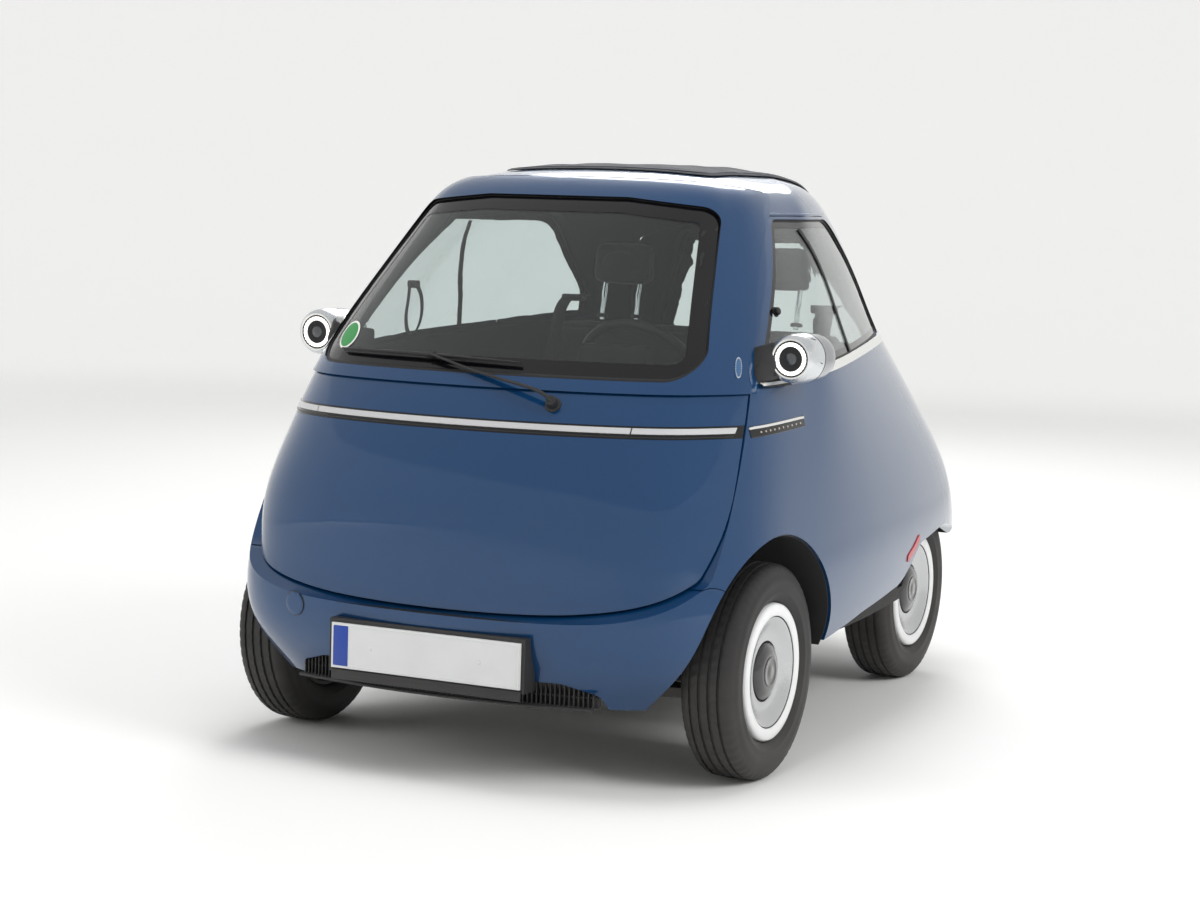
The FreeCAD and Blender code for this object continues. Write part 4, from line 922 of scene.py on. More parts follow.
class MICROCAR_OT_windows(Operator):
    """Clear glass, its rubber seals and printed black borders, the side panes' dividers and catches"""
    bl_idname = "microcar.windows"
    bl_label = "Windows"

    def execute(self, context):
        border = looks().trims.border
        paint_nodes(window_glass(), "windscreen", "side_windows", "rear_window")
        side = Skin("side_windows")
        # names of the seal and the border, opening, glass, view, edges of the print from inside out, body, sides
        panes = (("windscreen_seal", "windscreen_border", WINDSCREEN, Skin("windscreen"), from_front,
                  (border, border / 2, 0.0030), "door", (LEFT,)),
                 ("side_window_seals", "side_window_borders", SIDE_WINDOW, side, from_side,
                  (0.022, 0.0030), "shell", BOTH),
                 ("rear_window_seal", "rear_window_border", REAR_WINDOW, Skin("rear_window"), from_back,
                  (0.028, 0.0030), "tailgate", (LEFT,)))
        for seal_name, border_name, corners, skin, view, insets, body, sides in panes:
            outline = rounded(corners)
            seal = Build().add(band(skin, outline, SEAL_SECTION, view), 0, sides)
            if skin is side:
                divider = [from_side(-0.216 + 0.135 * k / 8, 1.338 - 0.328 * k / 8) for k in range(9)]
                seal.add(strip(side, divider, flat_profile(-0.0085, 0.0085, 0.0040), across=(0, 1, 0)), 0, BOTH)
            seal.piece(seal_name, body, [seal_rubber()], "housing_plastic")
            edge = [(-insets[0], -0.0004)] + [(-inset, PRINT_RISE) for inset in insets] + [(-insets[-1], -0.0004)]
            Build().add(band(skin, outline, edge, view), 0, sides).piece(border_name, body, [gloss_black()], "glass")
        knob = ((0, 0.014), (0.0075, 0.0132), (0.0100, 0.0105), (0.0105, 0.0060), (0.0080, 0.0040), (0.0130, 0.0028),
                (0.0135, 0.0000))
        place = axis_place(*side.meet(*from_side(-0.545, 1.134)))
        Build().add(turned(knob, place, 32), 0, BOTH).piece("pane_catches", "shell", [matt_black()], "housing_plastic")
        return {"FINISHED"}


def wiper():
    """Blade and lip along the glass's lower edge, an arm over a knee, and its cap on the door."""
    screen, door = Skin("windscreen", "windscreen_frame"), Skin("front_door")
    blade, lip, steps = [], [], 24
    for k in range(steps + 1):
        x = -0.425 + 0.547 * k / steps
        z = 1.000 + 0.004 * math.sin(math.pi * k / steps) - 0.005 * k / steps
        spot, normal = screen.meet(*from_front(x, z))
        blade.append(spot + normal * 0.0135)
        lip.append(spot + normal * 0.0065)
    size = [0.0030 + 0.0032 * math.sin(math.pi * k / steps) for k in range(steps + 1)]
    build = Build().add(tube(blade, size, 10, flat=0.75), 0).add(tube(lip, 0.0016, 6, flat=3.4), 1)
    foot, out = door.meet(*from_front(0.239, 0.911))
    knee = door.meet(*from_front(0.190, 0.930))
    tip = blade[13]  # just past the blade's middle
    arm = smooth_path([foot + out * 0.006, foot + out * 0.020, knee[0] + knee[1] * 0.030,
                       knee[0].lerp(tip, 0.5) + Vector((0, -0.016, 0.006)), tip + Vector((0, -0.006, 0.002))], 6)
    widths = [0.0100 - 0.0052 * k / (len(arm) - 1) for k in range(len(arm))]
    build.add(tube(arm, widths, 12, flat=0.55), 0)
    cap = ((0, 0.026), (0.0105, 0.0255), (0.0130, 0.0235), (0.0140, 0.0190), (0.0140, 0.0040), (0.0200, 0.0020),
           (0.0205, -0.0020))
    build.add(turned(cap, axis_place(foot, out), 40), 0)
    out_at_tip = screen.meet(*from_front(tip.x, tip.z))[1]
    build.add(block((-0.012, -0.0075, -0.0065), (0.012, 0.0075, 0.0065), 0.002, axis_place(tip, out_at_tip)), 0)
    build.piece("wiper", "door", [matt_black(), seal_rubber()], "housing_plastic")


def green_disc():
    """Plain disc with a pale edge in the windscreen's lower corner."""
    green = finish("Green disc", (0.030, 0.240, 0.060), 0.45, grain=500.0)
    pale = finish("Pale disc edge", (0.75, 0.76, 0.74), 0.45, grain=500.0)
    pane, centre = Skin("windscreen"), (-0.442, 1.039)
    discs = Build().add(disc(pane, centre, 0.034, 0.0012, from_front), 1)
    discs.add(disc(pane, centre, 0.029, 0.0018, from_front), 0).piece("green_disc", "door", [green, pale], "plate")


def frame_oval():
    """Plain blue oval with a beaded edge on the windscreen frame's left post."""
    post = Skin("windscreen_frame", "front_door")
    way = Vector((-0.72, 0.69, -0.05)).normalized()  # into the post
    along, across = Vector((-0.018, 0.036, 0.060)).normalized(), Vector((0.69, 0.72, 0)).normalized()
    middle = Vector((0.587, -0.792, 1.005))

    def on_oval(half_long, half_wide, angle):
        """The ray onto a point of an ellipse on the post."""
        at = middle + along * half_long * math.cos(angle) + across * half_wide * math.sin(angle)
        return at - way * FAR, way

    rows = []
    for portion, rise in ((0.0, 0.0042), (0.5, 0.0040), (0.85, 0.0030), (1.0, 0.0010), (1.0, -0.0015)):
        rows.append([post.over(rise, *on_oval(0.031 * portion, 0.0105 * portion, angle)) for angle in round_angles(32)])
    build = Build().add(net(rows), 0)
    bead = ((0, 0.0041), (0.0009, 0.0039), (0.0013, 0.0028), (0.0013, 0.0010))
    for angle in round_angles(26):
        build.add(turned(bead, axis_place(*post.meet(*on_oval(0.0275, 0.0088, angle))), 8), 1)
    build.piece("frame_oval", "door", [finish("Blue lens", (0.020, 0.085, 0.200), 0.14, coat=0.9, dust=0.1),
                                       finish("Pale beads", (0.72, 0.74, 0.72), 0.3)], "light_bar")


class MICROCAR_OT_screen_items(Operator):
    """Wiper, plain green disc and the blue oval on the windscreen's frame"""
    bl_idname = "microcar.screen_items"
    bl_label = "Wiper and discs"

    def execute(self, context):
        wiper()
        green_disc()
        frame_oval()
        return {"FINISHED"}


def grille_ribs(nose):
    """Upright ribs, two bars and a backing plate in the lower opening, and its lip."""
    def bumper_face(x):
        return nose.meet(*from_front(x, 0.280))[0].y

    def opening_top(x, middle_height):
        return middle_height - 0.30 * max(0.0, abs(x) - 0.33)

    build = Build()
    for k in range(-35, 36):
        x = k * 0.0115
        y = bumper_face(x)
        build.add(block((x - 0.0016, y + 0.020, 0.2035), (x + 0.0016, y + 0.034, opening_top(x, 0.2605)), 0.0008,
                        segments=1), 0)
    for z, deep, size in ((0.2060, 0.028, 0.003), (0.2300, 0.030, 0.003), (0.2045, 0.006, 0.0045)):
        bar = [Vector((k * 0.0195, bumper_face(k * 0.0195) + deep, z)) for k in range(-21, 22)]
        build.add(tube(bar, size, 8), 0)
    rows = []
    for k in range(-21, 22):
        x = k * 0.0197
        y, top = bumper_face(x), opening_top(x, 0.2640)
        rows.append([Vector((x, y + deep, z)) for deep, z in
                     ((0.036, 0.2020), (0.039, 0.2020), (0.039, top), (0.036, top))])
    build.add(net(rows, lids=True), 0)
    build.piece("grille_ribs", "shell", [matt_black()], "housing_plastic")


def plate_details():
    """Raised rims, plain blue bands and screws of both plates, and the front holder's lip."""
    low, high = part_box("plates")
    build = Build()
    for y, z0, z1, out in ((low.y, 0.251, 0.361, -1), (high.y, 0.445, 0.555, 1)):
        half = 0.2585
        outline = rounded(((-half, z0 + 0.0015, 0.009), (half, z0 + 0.0015, 0.009), (half, z1 - 0.0015, 0.009),
                           (-half, z1 - 0.0015, 0.009)), 6, 0.05)
        rim = ((0, 0.0), (0, 0.0009), (-0.0012, 0.0014), (-0.0030, 0.0014), (-0.0040, 0.0006), (-0.0042, -0.0004))
        build.add(net([[Vector((a, y + out * rise, b)) for a, b in grown(outline, grow)] for grow, rise in rim]), 0)
        left, right = sorted((out * 0.2545, out * 0.2130))
        near, away = sorted((y, y + out * 0.0008))
        build.add(block((left, near, z0 + 0.006), (right, away, z1 - 0.006), 0.0003), 1)
        if out < 0:
            build.add(block((-0.262, y + 0.0030, z0 - 0.0290), (0.262, y + 0.0080, z0 - 0.0040), 0.0016), 2)
        for x in (-0.150, 0.150):
            build.add(turned(((0, 0.0022), (0.0045, 0.0018), (0.0058, 0.0006), (0.0060, -0.0004)),
                             axis_place((x, y, (z0 + z1) / 2), (0, out, 0)), 20), 0)
    white = finish("Plate white", (0.72, 0.73, 0.73), 0.38, grain=350.0, dust=0.25, top=0.8)
    paint_nodes(white, "plates")
    blue = finish("Plate blue", (0.010, 0.050, 0.330), 0.35, dust=0.1)
    build.piece("plate_details", "shell", [white, blue, matt_black()], "plate")


class MICROCAR_OT_bumper_items(Operator):
    """Round tow cover, ribs in the lower opening, plates' rims and bands, red bar and reflectors"""
    bl_idname = "microcar.bumper_items"
    bl_label = "Bumper and plate details"

    def execute(self, context):
        nose = Skin("front_bumper")
        centre = (-0.403, 0.387)
        build = Build().add(disc(nose, centre, 0.0315, 0.0004, from_front, 0.0004, 40), 1)
        build.add(disc(nose, centre, 0.0290, 0.0018, from_front, 0.0010, 40), 0)
        build.piece("tow_cover", "shell", [body_paint(), seal_rubber()], "body_paint")
        grille_ribs(nose)
        plate_details()
        stations = side_stations(((0.172, 0.440), (0.240, 0.460), (0.304, 0.486)), 8)
        bar = strip(Skin("side_panel_left"), stations, flat_profile(-0.0105, 0.0105, 0.0030),
                    sizes=tapered(len(stations), (0.7,)))
        Build().add(bar).piece("red_side_bar", "shell", [finish("Red bar", (0.42, 0.016, 0.018), 0.35, coat=0.3)],
                               "light_bar")
        tail = Skin("rear_bumper")
        corners = ((0.36, 0.498, 0.006), (0.44, 0.498, 0.006), (0.44, 0.528, 0.006), (0.36, 0.528, 0.006))
        section = ((-0.0105, -0.001), (-0.0105, 0.0040), (-0.003, 0.0040), (0, 0.0025), (0, -0.001))
        build = Build()
        for side in BOTH:
            outline = [Vector((side * p.x, p.y)) for p in rounded(corners, 5, 0.02)]
            build.add(band(tail, outline, section, from_back), 0)
        build.piece("rear_reflectors", "shell", [bpy.data.materials["Red lens"]], "light_bar")
        return {"FINISHED"}


class MICROCAR_OT_finishes(Operator):
    """Finishes of the panels, frames and running gear that keep their own solids"""
    bl_idname = "microcar.finishes"
    bl_label = "Panel finishes"

    def execute(self, context):
        paint_nodes(body_paint(), "roof_panel", "side_panel_left", "side_panel_right", "front_door", "windscreen_frame",
                    "front_bumper", "tailgate", "rear_bumper")
        paint_nodes(matt_black(), "lamp_feet", "plate_holders", "lower_grille", "wheel_housing_left",
                    "wheel_housing_right", "pedals", "steering_column")
        paint_nodes(finish("Wheel grip", (0.020, 0.020, 0.022), 0.45, grain=1500.0, relief=0.0001), "steering_wheel")
        paint_nodes(lining(), "door_trim")
        paint_nodes(finish("Floor carpet", (0.024, 0.024, 0.026), 0.95, grain=2600.0, relief=0.0006, dust=0.3),
                    "floor_pan", "seat_base")
        paint_nodes(steel(), "front_subframe", "rear_axle", "rear_dampers", "knuckle_left", "knuckle_right",
                    "steering_rack", "door_pin", "tailgate_hinge")
        paint_nodes(finish("Cast aluminium", (0.42, 0.43, 0.44), 0.48, metallic=0.9, grain=260.0, spread=0.2,
                           relief=0.0002, dust=0.4), "drive_motor")
        return {"FINISHED"}


# Canvas roof

class MICROCAR_OT_canvas(Operator):
    """Folding canvas roof over its bows, with a sewn hem"""
    bl_idname = "microcar.canvas"
    bl_label = "Canvas roof"

    def execute(self, context):
        low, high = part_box("canvas_roof")
        skin = Skin("canvas_roof")
        left, right = high.x - 0.0015, low.x + 0.0015
        front, back, corner = low.y + 0.0015, high.y - 0.0015, 0.070
        outline = rounded(((left, front, corner), (left, back, corner), (right, back, corner),
                           (right, front, corner)), 10, 0.018)
        centre = Vector((0, (low.y + high.y) / 2))
        portions = [1.0, 0.985, 0.965, 0.945, 0.925, 0.90] + [0.87 - 0.03 * k for k in range(28)] + [0.015]
        bows = (-0.33, -0.16, 0.01, 0.18, 0.32)
        rows = []
        for portion in portions:
            row = []
            for p in outline:
                at = centre + (p - centre) * portion
                met = skin.meet(*from_above(at.x, at.y))
                edge = min(1.0, (1.0 - portion) / 0.12)  # the bows and waves fade out at the hem
                rise = (dent(nearest(at.y, bows), 0.016, 0.0028) - 0.0022) * edge
                wave = 0.0010 * math.sin(at.x * 41 + 3 * at.y) * math.sin(at.y * 23) * edge
                fold = -0.0035 * portion ** 6 - 0.003 * max(0.0, 1 - (1 - portion) / 0.015)
                row.append(met[0] + met[1] * (rise + wave + fold))
            rows.append(row)
        points, faces = net(rows)
        faces.append(tuple(range(len(points) - len(outline), len(points))))
        canvas = cloth("Canvas", (0.018, 0.022, 0.034), (0.012, 0.015, 0.024), 520.0, 0.00025, 0.25)
        sheet = Build().add((points, faces)).piece("canvas_sheet", "shell", [canvas], "canvas", 60, ["canvas_roof"])
        seams = Build()
        for portion, radius in ((0.972, 0.0014), (0.945, 0.0010)):
            spots = [centre + (p - centre) * portion for p in outline]
            path = [skin.over(-0.0035 * portion ** 6 - 0.0006, *from_above(p.x, p.y)) for p in spots]
            seams.add(tube(path, radius, 6, closed=True), 0)
        hem = seams.piece("canvas_hem", "shell", [canvas], "canvas", 60)
        return {"FINISHED"}


# Stuffed pieces

PUFF = 4.0  # pressure inside a pad while it is blown up
PUFF_STEPS = 20


def evaluated(thing):
    return thing.evaluated_get(bpy.context.evaluated_depsgraph_get())


def kept_within(spot, low, high):
    """A point moved into a box."""
    return Vector([min(max(spot[i], low[i]), high[i]) for i in range(3)])


def baked(thing):
    """Apply a thing's modifiers."""
    bpy.context.view_layer.update()
    result = bpy.data.meshes.new_from_object(evaluated(thing))
    thing.modifiers.clear()
    old = thing.data
    thing.data = result
    bpy.data.meshes.remove(old)


def blow_up(thing, most):
    """Puff a mesh up by simulation; no point moves further than most."""
    stuffing = thing.modifiers.new("Stuffing", "CLOTH")
    stuffing.settings.use_pressure = True
    stuffing.settings.uniform_pressure_force = PUFF
    stuffing.settings.effector_weights.gravity = 0.0
    stuffing.settings.quality = 4
    stuffing.point_cache.frame_start, stuffing.point_cache.frame_end = 1, PUFF_STEPS
    for step in range(1, PUFF_STEPS + 1):
        bpy.context.scene.frame_set(step)
    blown = [v.co.copy() for v in evaluated(thing).data.vertices]
    thing.modifiers.clear()
    for vertex, new in zip(thing.data.vertices, blown):
        moved = new - vertex.co
        vertex.co += moved * min(1.0, most / moved.length) if moved.length > 0 else moved
    bpy.context.scene.frame_set(1)


def stuffed(name, part, stands_for, seams, low, high, place=Matrix.Identity(4), swell=None):
    """A pad that is remeshed, blown up and then sewn.

    In the place's frame, seams(point, normal) is the sewing's depth, and low and high are the box that the pad
    stays in.
    """
    cabin = looks().cabin
    mesh = bpy.data.meshes.new(name)
    mesh.from_pydata(part[0], [], part[1])
    mesh.materials.append(seat_fabric())
    thing = bpy.data.objects.new(name, mesh)
    bpy.context.scene.collection.objects.link(thing)
    voxels = thing.modifiers.new("Voxels", "REMESH")
    voxels.mode, voxels.voxel_size = "VOXEL", cabin.cell
    baked(thing)
    blow_up(thing, swell or cabin.swell)
    thing.modifiers.new("Subdivision", "SUBSURF").levels = 1
    baked(thing)
    thing.data.update()
    back = place.inverted()
    normals = [v.normal.copy() for v in thing.data.vertices]
    for vertex, normal in zip(thing.data.vertices, normals):
        here, facing = back @ vertex.co, back.to_3x3() @ normal
        vertex.co = place @ kept_within(here - facing * seams(here, facing), low, high)
    thing.data.shade_smooth()
    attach(thing, "shell")
    if stands_for:
        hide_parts(*stands_for)


def dent(distance, width, depth):
    """Depth of a seam, or height of a ridge, at a distance from its line."""
    return depth * math.exp(-(distance / width) ** 2)


def nearest(value, lines):
    """Distance to the nearest of some parallel lines."""
    return min(abs(value - line) for line in lines)


BACK_PLACE = Matrix.Translation((0, 0.173, 0.5888)) @ Matrix.Rotation(math.radians(-9), 4, "X")  # foot and lean
HEAD_PLACE = BACK_PLACE @ Matrix.Translation((0, 0, 0.480))
HEAD_SIDE = 0.250  # middle of each headrest from the car's middle


def pulled_block(low, high, edge, pinch, place=Matrix.Identity(4)):
    """A rounded block whose sides pull in between its corners."""
    low, high = Vector(low), Vector(high)
    round_off = Vector((edge, edge, edge))
    made = bmesh.new()
    bmesh.ops.create_cube(made, size=1.0)
    bmesh.ops.subdivide_edges(made, edges=made.edges[:], cuts=7, use_grid_fill=True)
    points = []
    for vertex in made.verts:
        portion = vertex.co * 2
        spot = Vector([low[i] + (vertex.co[i] + 0.5) * (high[i] - low[i]) for i in range(3)])
        for i in (0, 1):
            other = portion[1 - i]
            spot[i] -= pinch * portion[i] * (1 - other * other)
        core = kept_within(spot, low + round_off, high - round_off)
        away = spot - core
        if away.length > edge:
            spot = core + away * (edge / away.length)
        points.append(place @ spot)
    faces = [[v.index for v in face.verts] for face in made.faces]
    made.free()
    return points, faces


class MICROCAR_OT_seats(Operator):
    """Bench cushion, back and headrests, stuffed and sewn"""
    bl_idname = "microcar.seats"
    bl_label = "Seats"

    def execute(self, context):
        low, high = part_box("seat_cushion")

        def cushion_seams(p, facing):
            sewn = dent(nearest(p.x, (-0.30, 0.0, 0.30)), 0.007, 0.0075)
            if abs(p.x) < 0.48:
                sewn += dent(nearest(p.y, (-0.165, -0.03, 0.105)), 0.006, 0.0050)
            piping = dent(abs(p.z - (high.z - 0.030)), 0.005, 0.0035)
            return max(0.0, facing.z) * sewn + (1 - abs(facing.z)) * piping

        def back_seams(p, facing):
            sewn = dent(nearest(p.x, (-0.31, 0.0, 0.31)), 0.007, 0.0075) + dent(abs(p.z - 0.440), 0.005, 0.0045)
            if abs(p.x) < 0.42:
                sewn += dent(nearest(p.z, (0.130, 0.240, 0.350)), 0.006, 0.0045)
            piping = dent(abs(p.y + 0.030), 0.004, 0.004)
            return max(0.0, -facing.y) * sewn + max(0.0, facing.z) * piping

        def head_seams(p, facing):
            ring = math.hypot(p.x / 0.062, (p.z - 0.160) / 0.038)
            sewn, piping = dent(abs(ring - 1) * 0.045, 0.0035, 0.0038), dent(abs(p.y), 0.004, 0.0030)
            return max(0.0, -facing.y) * sewn + (1 - abs(facing.y)) * piping

        shape = pulled_block(low + Vector((0.006, 0.006, 0)), high - Vector((0.006, 0.006, 0.010)), 0.034, 0.006)
        stuffed("bench_cushion", shape, ["seat_cushion"], cushion_seams, low + Vector((0, 0, 0.0003)), high)
        shape = pulled_block((-0.450, -0.044, 0.002), (0.450, 0.044, 0.472), 0.030, 0.005, BACK_PLACE)
        stuffed("bench_back", shape, ["seat_back"], back_seams, (-0.455, -0.050, -0.003), (0.455, 0.050, 0.480),
                BACK_PLACE)
        for side, name, stands_for in ((LEFT, "headrest_pad_left", ["headrests"]), (RIGHT, "headrest_pad_right", [])):
            place = HEAD_PLACE @ Matrix.Translation((side * HEAD_SIDE, 0, 0))
            shape = pulled_block((-0.092, -0.036, 0.098), (0.092, 0.036, 0.222), 0.030, 0.003, place)
            stuffed(name, shape, stands_for, head_seams, (-0.095, -0.042, 0.095), (0.095, 0.042, 0.225), place, 0.006)
        posts = Build()
        for side in BOTH:
            for off in (-0.055, 0.055):
                x = side * HEAD_SIDE + off
                post = [HEAD_PLACE @ Vector((x, 0, z)) for z in (-0.012, 0.106)]
                posts.add(tube(post, 0.0062, 20, up=(0, 1, 0)), 0)
                collar = ((0.0063, 0.0062), (0.0120, 0.0056), (0.0150, 0.0036), (0.0158, -0.0040))
                posts.add(turned(collar, HEAD_PLACE @ Matrix.Translation((x, 0, 0)), 28), 1)
        posts.piece("headrest_posts", "shell", [chrome(), matt_black()], "lamp_chrome")
        return {"FINISHED"}


def webbing(path, width, across, thick=0.0014):
    """A flat woven strap along a path."""
    side = Vector(across).normalized()
    rows = []
    for i, here in enumerate(path):
        way = (path[min(i + 1, len(path) - 1)] - path[max(i - 1, 0)]).normalized()
        up = side.cross(way).normalized()
        rows.append([here + side * a * width / 2 + up * b * thick / 2 for a, b in
                     ((-1, -0.4), (-0.97, -1), (0.97, -1), (1, -0.4), (1, 0.4), (0.97, 1), (-0.97, 1), (-1, 0.4))])
    return net(rows, lids=True)


class MICROCAR_OT_cabin_items(Operator):
    """Seat belts with their guides and buckles"""
    bl_idname = "microcar.cabin_items"
    bl_label = "Seat belts"

    def execute(self, context):
        strap = cloth("Belt webbing", (0.030, 0.030, 0.032), (0.016, 0.016, 0.018), 1100.0, 0.00015, 0.1)
        build = Build()
        path = smooth_path([(0.395, 0.316, 1.120), (0.410, 0.205, 1.098), (0.420, 0.150, 0.960), (0.440, 0.095, 0.760),
                            (0.492, 0.070, 0.640), (0.508, 0.100, 0.520), (0.500, 0.150, 0.420)], 8)
        build.add(webbing(path, 0.046, (1, 0.25, 0.1)), 0, BOTH)
        build.add(block((0.361, 0.217, 1.101), (0.429, 0.255, 1.124), 0.006, segments=3), 1, BOTH)
        for x in (0.045, 0.110):
            build.add(block((x - 0.019, 0.070, 0.585), (x + 0.019, 0.094, 0.650), 0.006, segments=3), 1, BOTH)
            build.add(block((x - 0.011, 0.0685, 0.632), (x + 0.011, 0.0705, 0.646), 0.0008), 2, BOTH)
        build.piece("seat_belts", "shell", [strap, matt_black(), finish("Buckle red", (0.35, 0.012, 0.012), 0.4)],
                    "housing_plastic")
        return {"FINISHED"}


WHEEL_HAND = Vector((0.150, -0.420, 0.935))  # middle of the steering wheel's rim
COLUMN_RISE = math.radians(30)


class MICROCAR_OT_steering(Operator):
    """Padded steering wheel with three spokes and a plain boss"""
    bl_idname = "microcar.steering"
    bl_label = "Steering wheel"

    def execute(self, context):
        towards = Vector((0, math.cos(COLUMN_RISE), math.sin(COLUMN_RISE)))
        place = axis_place(WHEEL_HAND, towards)
        low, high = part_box("steering_wheel")
        reach = (high.x - low.x) / 2 - 0.014
        circle = [place @ polar(reach, angle) for angle in round_angles(96)]
        build = Build().add(tube(circle, 0.0136, 16, closed=True, up=towards), 0)
        build.add(turned(((0, 0.0020), (0.0160, 0.0018), (0.0172, 0.0008), (0.0186, 0.0012), (0.0330, -0.0008),
                          (0.0440, -0.0050), (0.0478, -0.0120), (0.0478, -0.0300), (0.0430, -0.0390), (0.0120, -0.0400),
                          (0.0118, -0.1190), (0, -0.1190)), place, 56), 0)
        for angle in (0, math.pi, -math.pi / 2):
            turn = place @ Matrix.Rotation(angle, 4, "Z")
            rows = []
            for out in (k / 8 for k in range(9)):  # from the boss to the rim
                half = 0.0165 - 0.0065 * math.sin(math.pi * out * 0.8)
                z = -0.0140 + 0.0110 * out * out
                outline = rounded(((-half, z - 0.0055, 0.004), (half, z - 0.0055, 0.004), (half, z + 0.0055, 0.004),
                                   (-half, z + 0.0055, 0.004)), 4, 10)
                rows.append([turn @ Vector((0.036 + out * (reach - 0.040), a, b)) for a, b in outline])
            build.add(net(rows, lids=True), 1)
        grip = bpy.data.materials["Wheel grip"]
        build.piece("steering_wheel_grip", "steering_wheel", [grip, satin_silver()], "housing_plastic", 40,
                    ["steering_wheel"])
        return {"FINISHED"}


class MICROCAR_OT_springs(Operator):
    """Rear dampers with their coil springs, seats and rods"""
    bl_idname = "microcar.springs"
    bl_label = "Rear springs"

    def execute(self, context):
        low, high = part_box("rear_dampers")
        x, y = high.x - (high.y - low.y) / 2, (low.y + high.y) / 2
        build = Build()
        foot = Matrix.Translation((x, y, 0))
        build.add(turned(((0, low.z), (0.0138, low.z), (0.0138, 0.470), (0.0120, 0.474), (0.0080, 0.4745),
                          (0.0080, 0.580), (0.0138, 0.582), (0.0138, high.z), (0, high.z)), foot, 28), 0, BOTH)
        for z in (0.352, 0.548):
            build.add(turned(((0.0138, z - 0.002), (0.0275, z - 0.002), (0.0288, z), (0.0275, z + 0.002),
                              (0.0138, z + 0.002)), foot, 32, ring=True), 0, BOTH)
        turns, steps = 7, 20
        coil = [foot @ polar(0.0235, 2 * math.pi * k / steps, 0.358 + 0.184 * k / (turns * steps))
                for k in range(turns * steps + 1)]
        build.add(tube(coil, 0.0042, 8), 1, BOTH)
        coat = finish("Spring coat", (0.30, 0.31, 0.32), 0.4, metallic=0.6, dust=0.4)
        build.piece("rear_springs", "shell", [steel(), coat], "running_gear", 40, ["rear_dampers"])
        return {"FINISHED"}


class MICROCAR_OT_openings(Operator):
    """Drip rails over the side panes, the door's inside handle and strap, and the tailgate's button"""
    bl_idname = "microcar.openings"
    bl_label = "Rails and handles"

    def execute(self, context):
        stations = side_stations(((-0.395, 1.3755), (-0.250, 1.3770), (-0.050, 1.3775), (0.120, 1.3770)), 8)
        section = ((-0.0045, 0), (-0.0040, 0.0022), (-0.0020, 0.0042), (0.0010, 0.0042), (0.0028, 0.0022), (0.0030, 0))
        rail = strip(Skin("side_panel_left"), stations, section, sizes=tapered(len(stations), (0.25, 0.7)))
        Build().add(rail, 0, BOTH).piece("drip_rails", "shell", [body_paint()], "body_paint")
        loop = smooth_path([(-0.393, -0.704, 1.170), (-0.386, -0.722, 1.130), (-0.374, -0.752, 1.085),
                            (-0.356, -0.776, 1.052), (-0.338, -0.784, 1.042), (-0.327, -0.772, 1.056),
                            (-0.330, -0.748, 1.092), (-0.352, -0.715, 1.138), (-0.384, -0.692, 1.172)], 6)
        anchor = block((-0.404, -0.702, 1.156), (-0.376, -0.678, 1.176), 0.004)
        handle = smooth_path([(-0.300, -0.965, 0.900), (-0.300, -0.935, 0.905), (-0.260, -0.925, 0.905),
                              (-0.180, -0.925, 0.905), (-0.140, -0.935, 0.905), (-0.140, -0.970, 0.900)], 6)
        build = Build().add(webbing(loop, 0.013, (0.25, 0.85, 0.45)), 0).add(anchor, 1)
        build.add(tube(handle, 0.0085, 12, up=(0, 0.2, 1)), 1)
        build.piece("door_strap", "door", [bpy.data.materials["Belt webbing"], matt_black()], "housing_plastic")
        place = axis_place(*Skin("tailgate").meet(*from_back(0, 0.700)))
        button = ((0, 0.0030), (0.0150, 0.0026), (0.0175, 0.0010), (0.0180, -0.0010))
        collar = ((0.0180, -0.0010), (0.0180, 0.0012), (0.0195, 0.0016), (0.0215, 0.0004), (0.0220, -0.0010))
        Build().add(turned(button, place, 40), 0).add(turned(collar, place, 40), 1).piece(
            "tailgate_button", "tailgate", [matt_black(), chrome()], "lamp_chrome")
        return {"FINISHED"}


# Stage

CURVE_HEIGHT = 6.0  # of the floor's turn up into the backdrop
BACKDROP_GLOW = 0.34
LIGHTS_AIM = Vector((0, 0, 0.6))
# name, place, width and part of the key light's power
LIGHTS = (("key_light", (7.4, -1.6, 5.6), 4.2, 1.0), ("fill_light", (-6.0, -6.0, 3.4), 5.0, 0.45),
          ("back_light", (-2.5, 6.5, 5.5), 4.5, 0.55), ("top_light", (0.0, -0.4, 7.6), 4.0, 0.45))
# the camera that was fitted to the photo
CAMERA_LENS, CAMERA_SENSOR = 77.017, 36.0
CAMERA_PLACE = Vector((3.07115841, -6.48906023, 1.39731643))
CAMERA_RIGHT = Vector((0.89260956, 0.44988169, 0.0292341))
CAMERA_UP = Vector((-0.06939309, 0.07303156, 0.99491255))
CAMERA_AHEAD = Vector((-0.44545793, 0.8900971, -0.09640735))


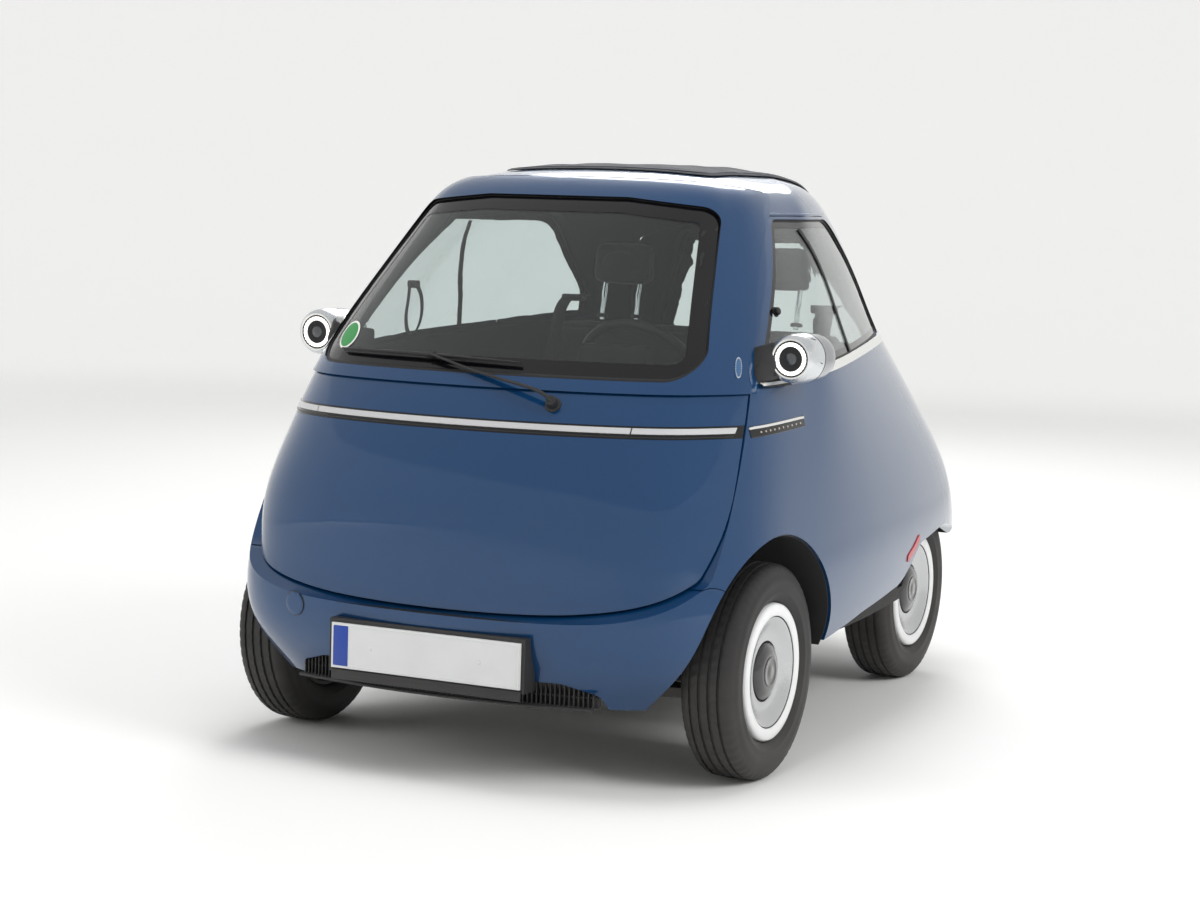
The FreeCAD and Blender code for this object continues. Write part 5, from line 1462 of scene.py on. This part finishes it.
def floor_finish(stage):
    """Mottled floor that glows far away, for the camera, in mirrors and through glass."""
    made, nodes, shader = blank("Studio floor")
    mottle = nodes.math("MULTIPLY", nodes.noise(0.8, 2.0), 0.25)
    nodes.put(shader.inputs["Base Color"], nodes.mix(mottle, solid(stage.floor),
                                                     solid([0.94 * c for c in stage.floor])))
    shader.inputs["Roughness"].default_value = 0.9
    shader.inputs["Specular IOR Level"].default_value = 0.1
    spot = nodes.add("TexCoord").outputs["Object"]
    away = nodes.add("VectorMath", {0: spot}, operation="LENGTH").outputs["Value"]
    far = nodes.add("MapRange", {"Value": away, "From Min": 5.0, "From Max": stage.radius},
                    interpolation_type="SMOOTHSTEP").outputs[0]
    path = nodes.add("LightPath").outputs
    bounced = nodes.math("MAXIMUM", path["Is Glossy Ray"], path["Is Transmission Ray"])
    seen = nodes.math("MULTIPLY", far, nodes.math("MAXIMUM", path["Is Camera Ray"], bounced))
    shader.inputs["Emission Color"].default_value = (1, 1, 1, 1)
    nodes.put(shader.inputs["Emission Strength"], nodes.math("MULTIPLY", seen, BACKDROP_GLOW))
    return made


def sky(stage):
    """White sky that is slightly warmer below."""
    world = bpy.data.worlds.new("Studio")
    world.use_nodes = True
    nodes = Nodes(world.node_tree)
    ground = world.node_tree.nodes["Background"]
    spot = nodes.add("TexCoord").outputs["Generated"]
    height = nodes.add("SeparateXYZ", {"Vector": spot}).outputs["Z"]
    ramp = nodes.add("MapRange", {"Value": height, "From Min": -0.2, "From Max": 0.9}).outputs[0]
    nodes.put(ground.inputs["Color"], nodes.mix(ramp, (0.93, 0.93, 0.92, 1), (1, 1, 1, 1)))
    ground.inputs["Strength"].default_value = stage.sky
    return world


class MICROCAR_OT_stage(Operator):
    """Pale floor and backdrop, soft lights and the camera"""
    bl_idname = "microcar.stage"
    bl_label = "Stage"

    def execute(self, context):
        stage = looks().stage
        scene = context.scene
        scene.view_settings.view_transform = "Standard"
        section = [(0.0, 0.0), (4.0, 0.0), (9.0, 0.0), (stage.radius, 0.0)]
        section += [(stage.radius + CURVE_HEIGHT * math.sin(t), CURVE_HEIGHT - CURVE_HEIGHT * math.cos(t))
                    for t in (0.2, 0.4, 0.6, 0.8, 1.0, 1.2, 1.4, 1.57)]
        section.append((stage.radius + CURVE_HEIGHT, 2 * CURVE_HEIGHT))
        points, faces = turned(section, Matrix.Identity(4), 96)
        mesh = bpy.data.meshes.new("studio_floor")
        mesh.from_pydata(points, [], faces)
        mesh.materials.append(floor_finish(stage))
        mesh.shade_smooth()
        floor = bpy.data.objects.new("studio_floor", mesh)
        scene.collection.objects.link(floor)
        scene.world = sky(stage)
        for name, spot, size, part in LIGHTS:
            light = bpy.data.lights.new(name, "AREA")
            light.shape, light.size, light.energy = "DISK", size, stage.key * part
            lamp = bpy.data.objects.new(name, light)
            aim = (LIGHTS_AIM - Vector(spot)).to_track_quat("-Z", "Y")
            lamp.matrix_world = Matrix.Translation(spot) @ aim.to_matrix().to_4x4()
            scene.collection.objects.link(lamp)
            lamp.visible_glossy = name == "back_light"
            lamp.visible_transmission = False
        eye = bpy.data.cameras.new("photo_camera")
        eye.sensor_width, eye.lens = CAMERA_SENSOR, CAMERA_LENS
        camera = bpy.data.objects.new("photo_camera", eye)
        axes = Matrix((CAMERA_RIGHT, CAMERA_UP, -CAMERA_AHEAD)).transposed()
        camera.matrix_world = Matrix.Translation(CAMERA_PLACE) @ axes.to_4x4()
        scene.collection.objects.link(camera)
        scene.camera = camera
        return {"FINISHED"}


PIECES = (MICROCAR_OT_finishes, MICROCAR_OT_wheels, MICROCAR_OT_lamps, MICROCAR_OT_lamp_stalks, MICROCAR_OT_belts,
          MICROCAR_OT_light_strip, MICROCAR_OT_windows, MICROCAR_OT_screen_items, MICROCAR_OT_bumper_items,
          MICROCAR_OT_canvas, MICROCAR_OT_seats, MICROCAR_OT_cabin_items, MICROCAR_OT_steering, MICROCAR_OT_springs,
          MICROCAR_OT_openings, MICROCAR_OT_stage)


class MICROCAR_PT_looks(Panel):
    """Sizes and colours of the car's looks, and a button for each group of pieces"""
    bl_idname = "MICROCAR_PT_looks"
    bl_label = "Microcar"
    bl_space_type = "VIEW_3D"
    bl_region_type = "UI"
    bl_category = "Microcar"

    def draw(self, context):
        for group in ("paint", "wheels", "trims", "lamps", "cabin", "stage"):
            owner = getattr(context.scene.microcar, group)
            column = self.layout.box().column(align=True)
            column.label(text=group.title())
            for name in owner.__annotations__:
                column.prop(owner, name)
        for operator in PIECES:
            self.layout.operator(operator.bl_idname)


CLASSES = (PaintLooks, WheelLooks, TrimLooks, LampLooks, CabinLooks, StageLooks, MicrocarLooks) + PIECES + (
    MICROCAR_PT_looks,)


def register():
    for kind in CLASSES:
        bpy.utils.register_class(kind)
    bpy.types.Scene.microcar = PointerProperty(type=MicrocarLooks, name="Microcar", description="Looks of the car")


def unregister():
    del bpy.types.Scene.microcar
    for kind in reversed(CLASSES):
        bpy.utils.unregister_class(kind)


def main():
    register()
    for operator in PIECES:
        group, name = operator.bl_idname.split(".")
        getattr(getattr(bpy.ops, group), name)()


if __name__ == "__main__":
    main()
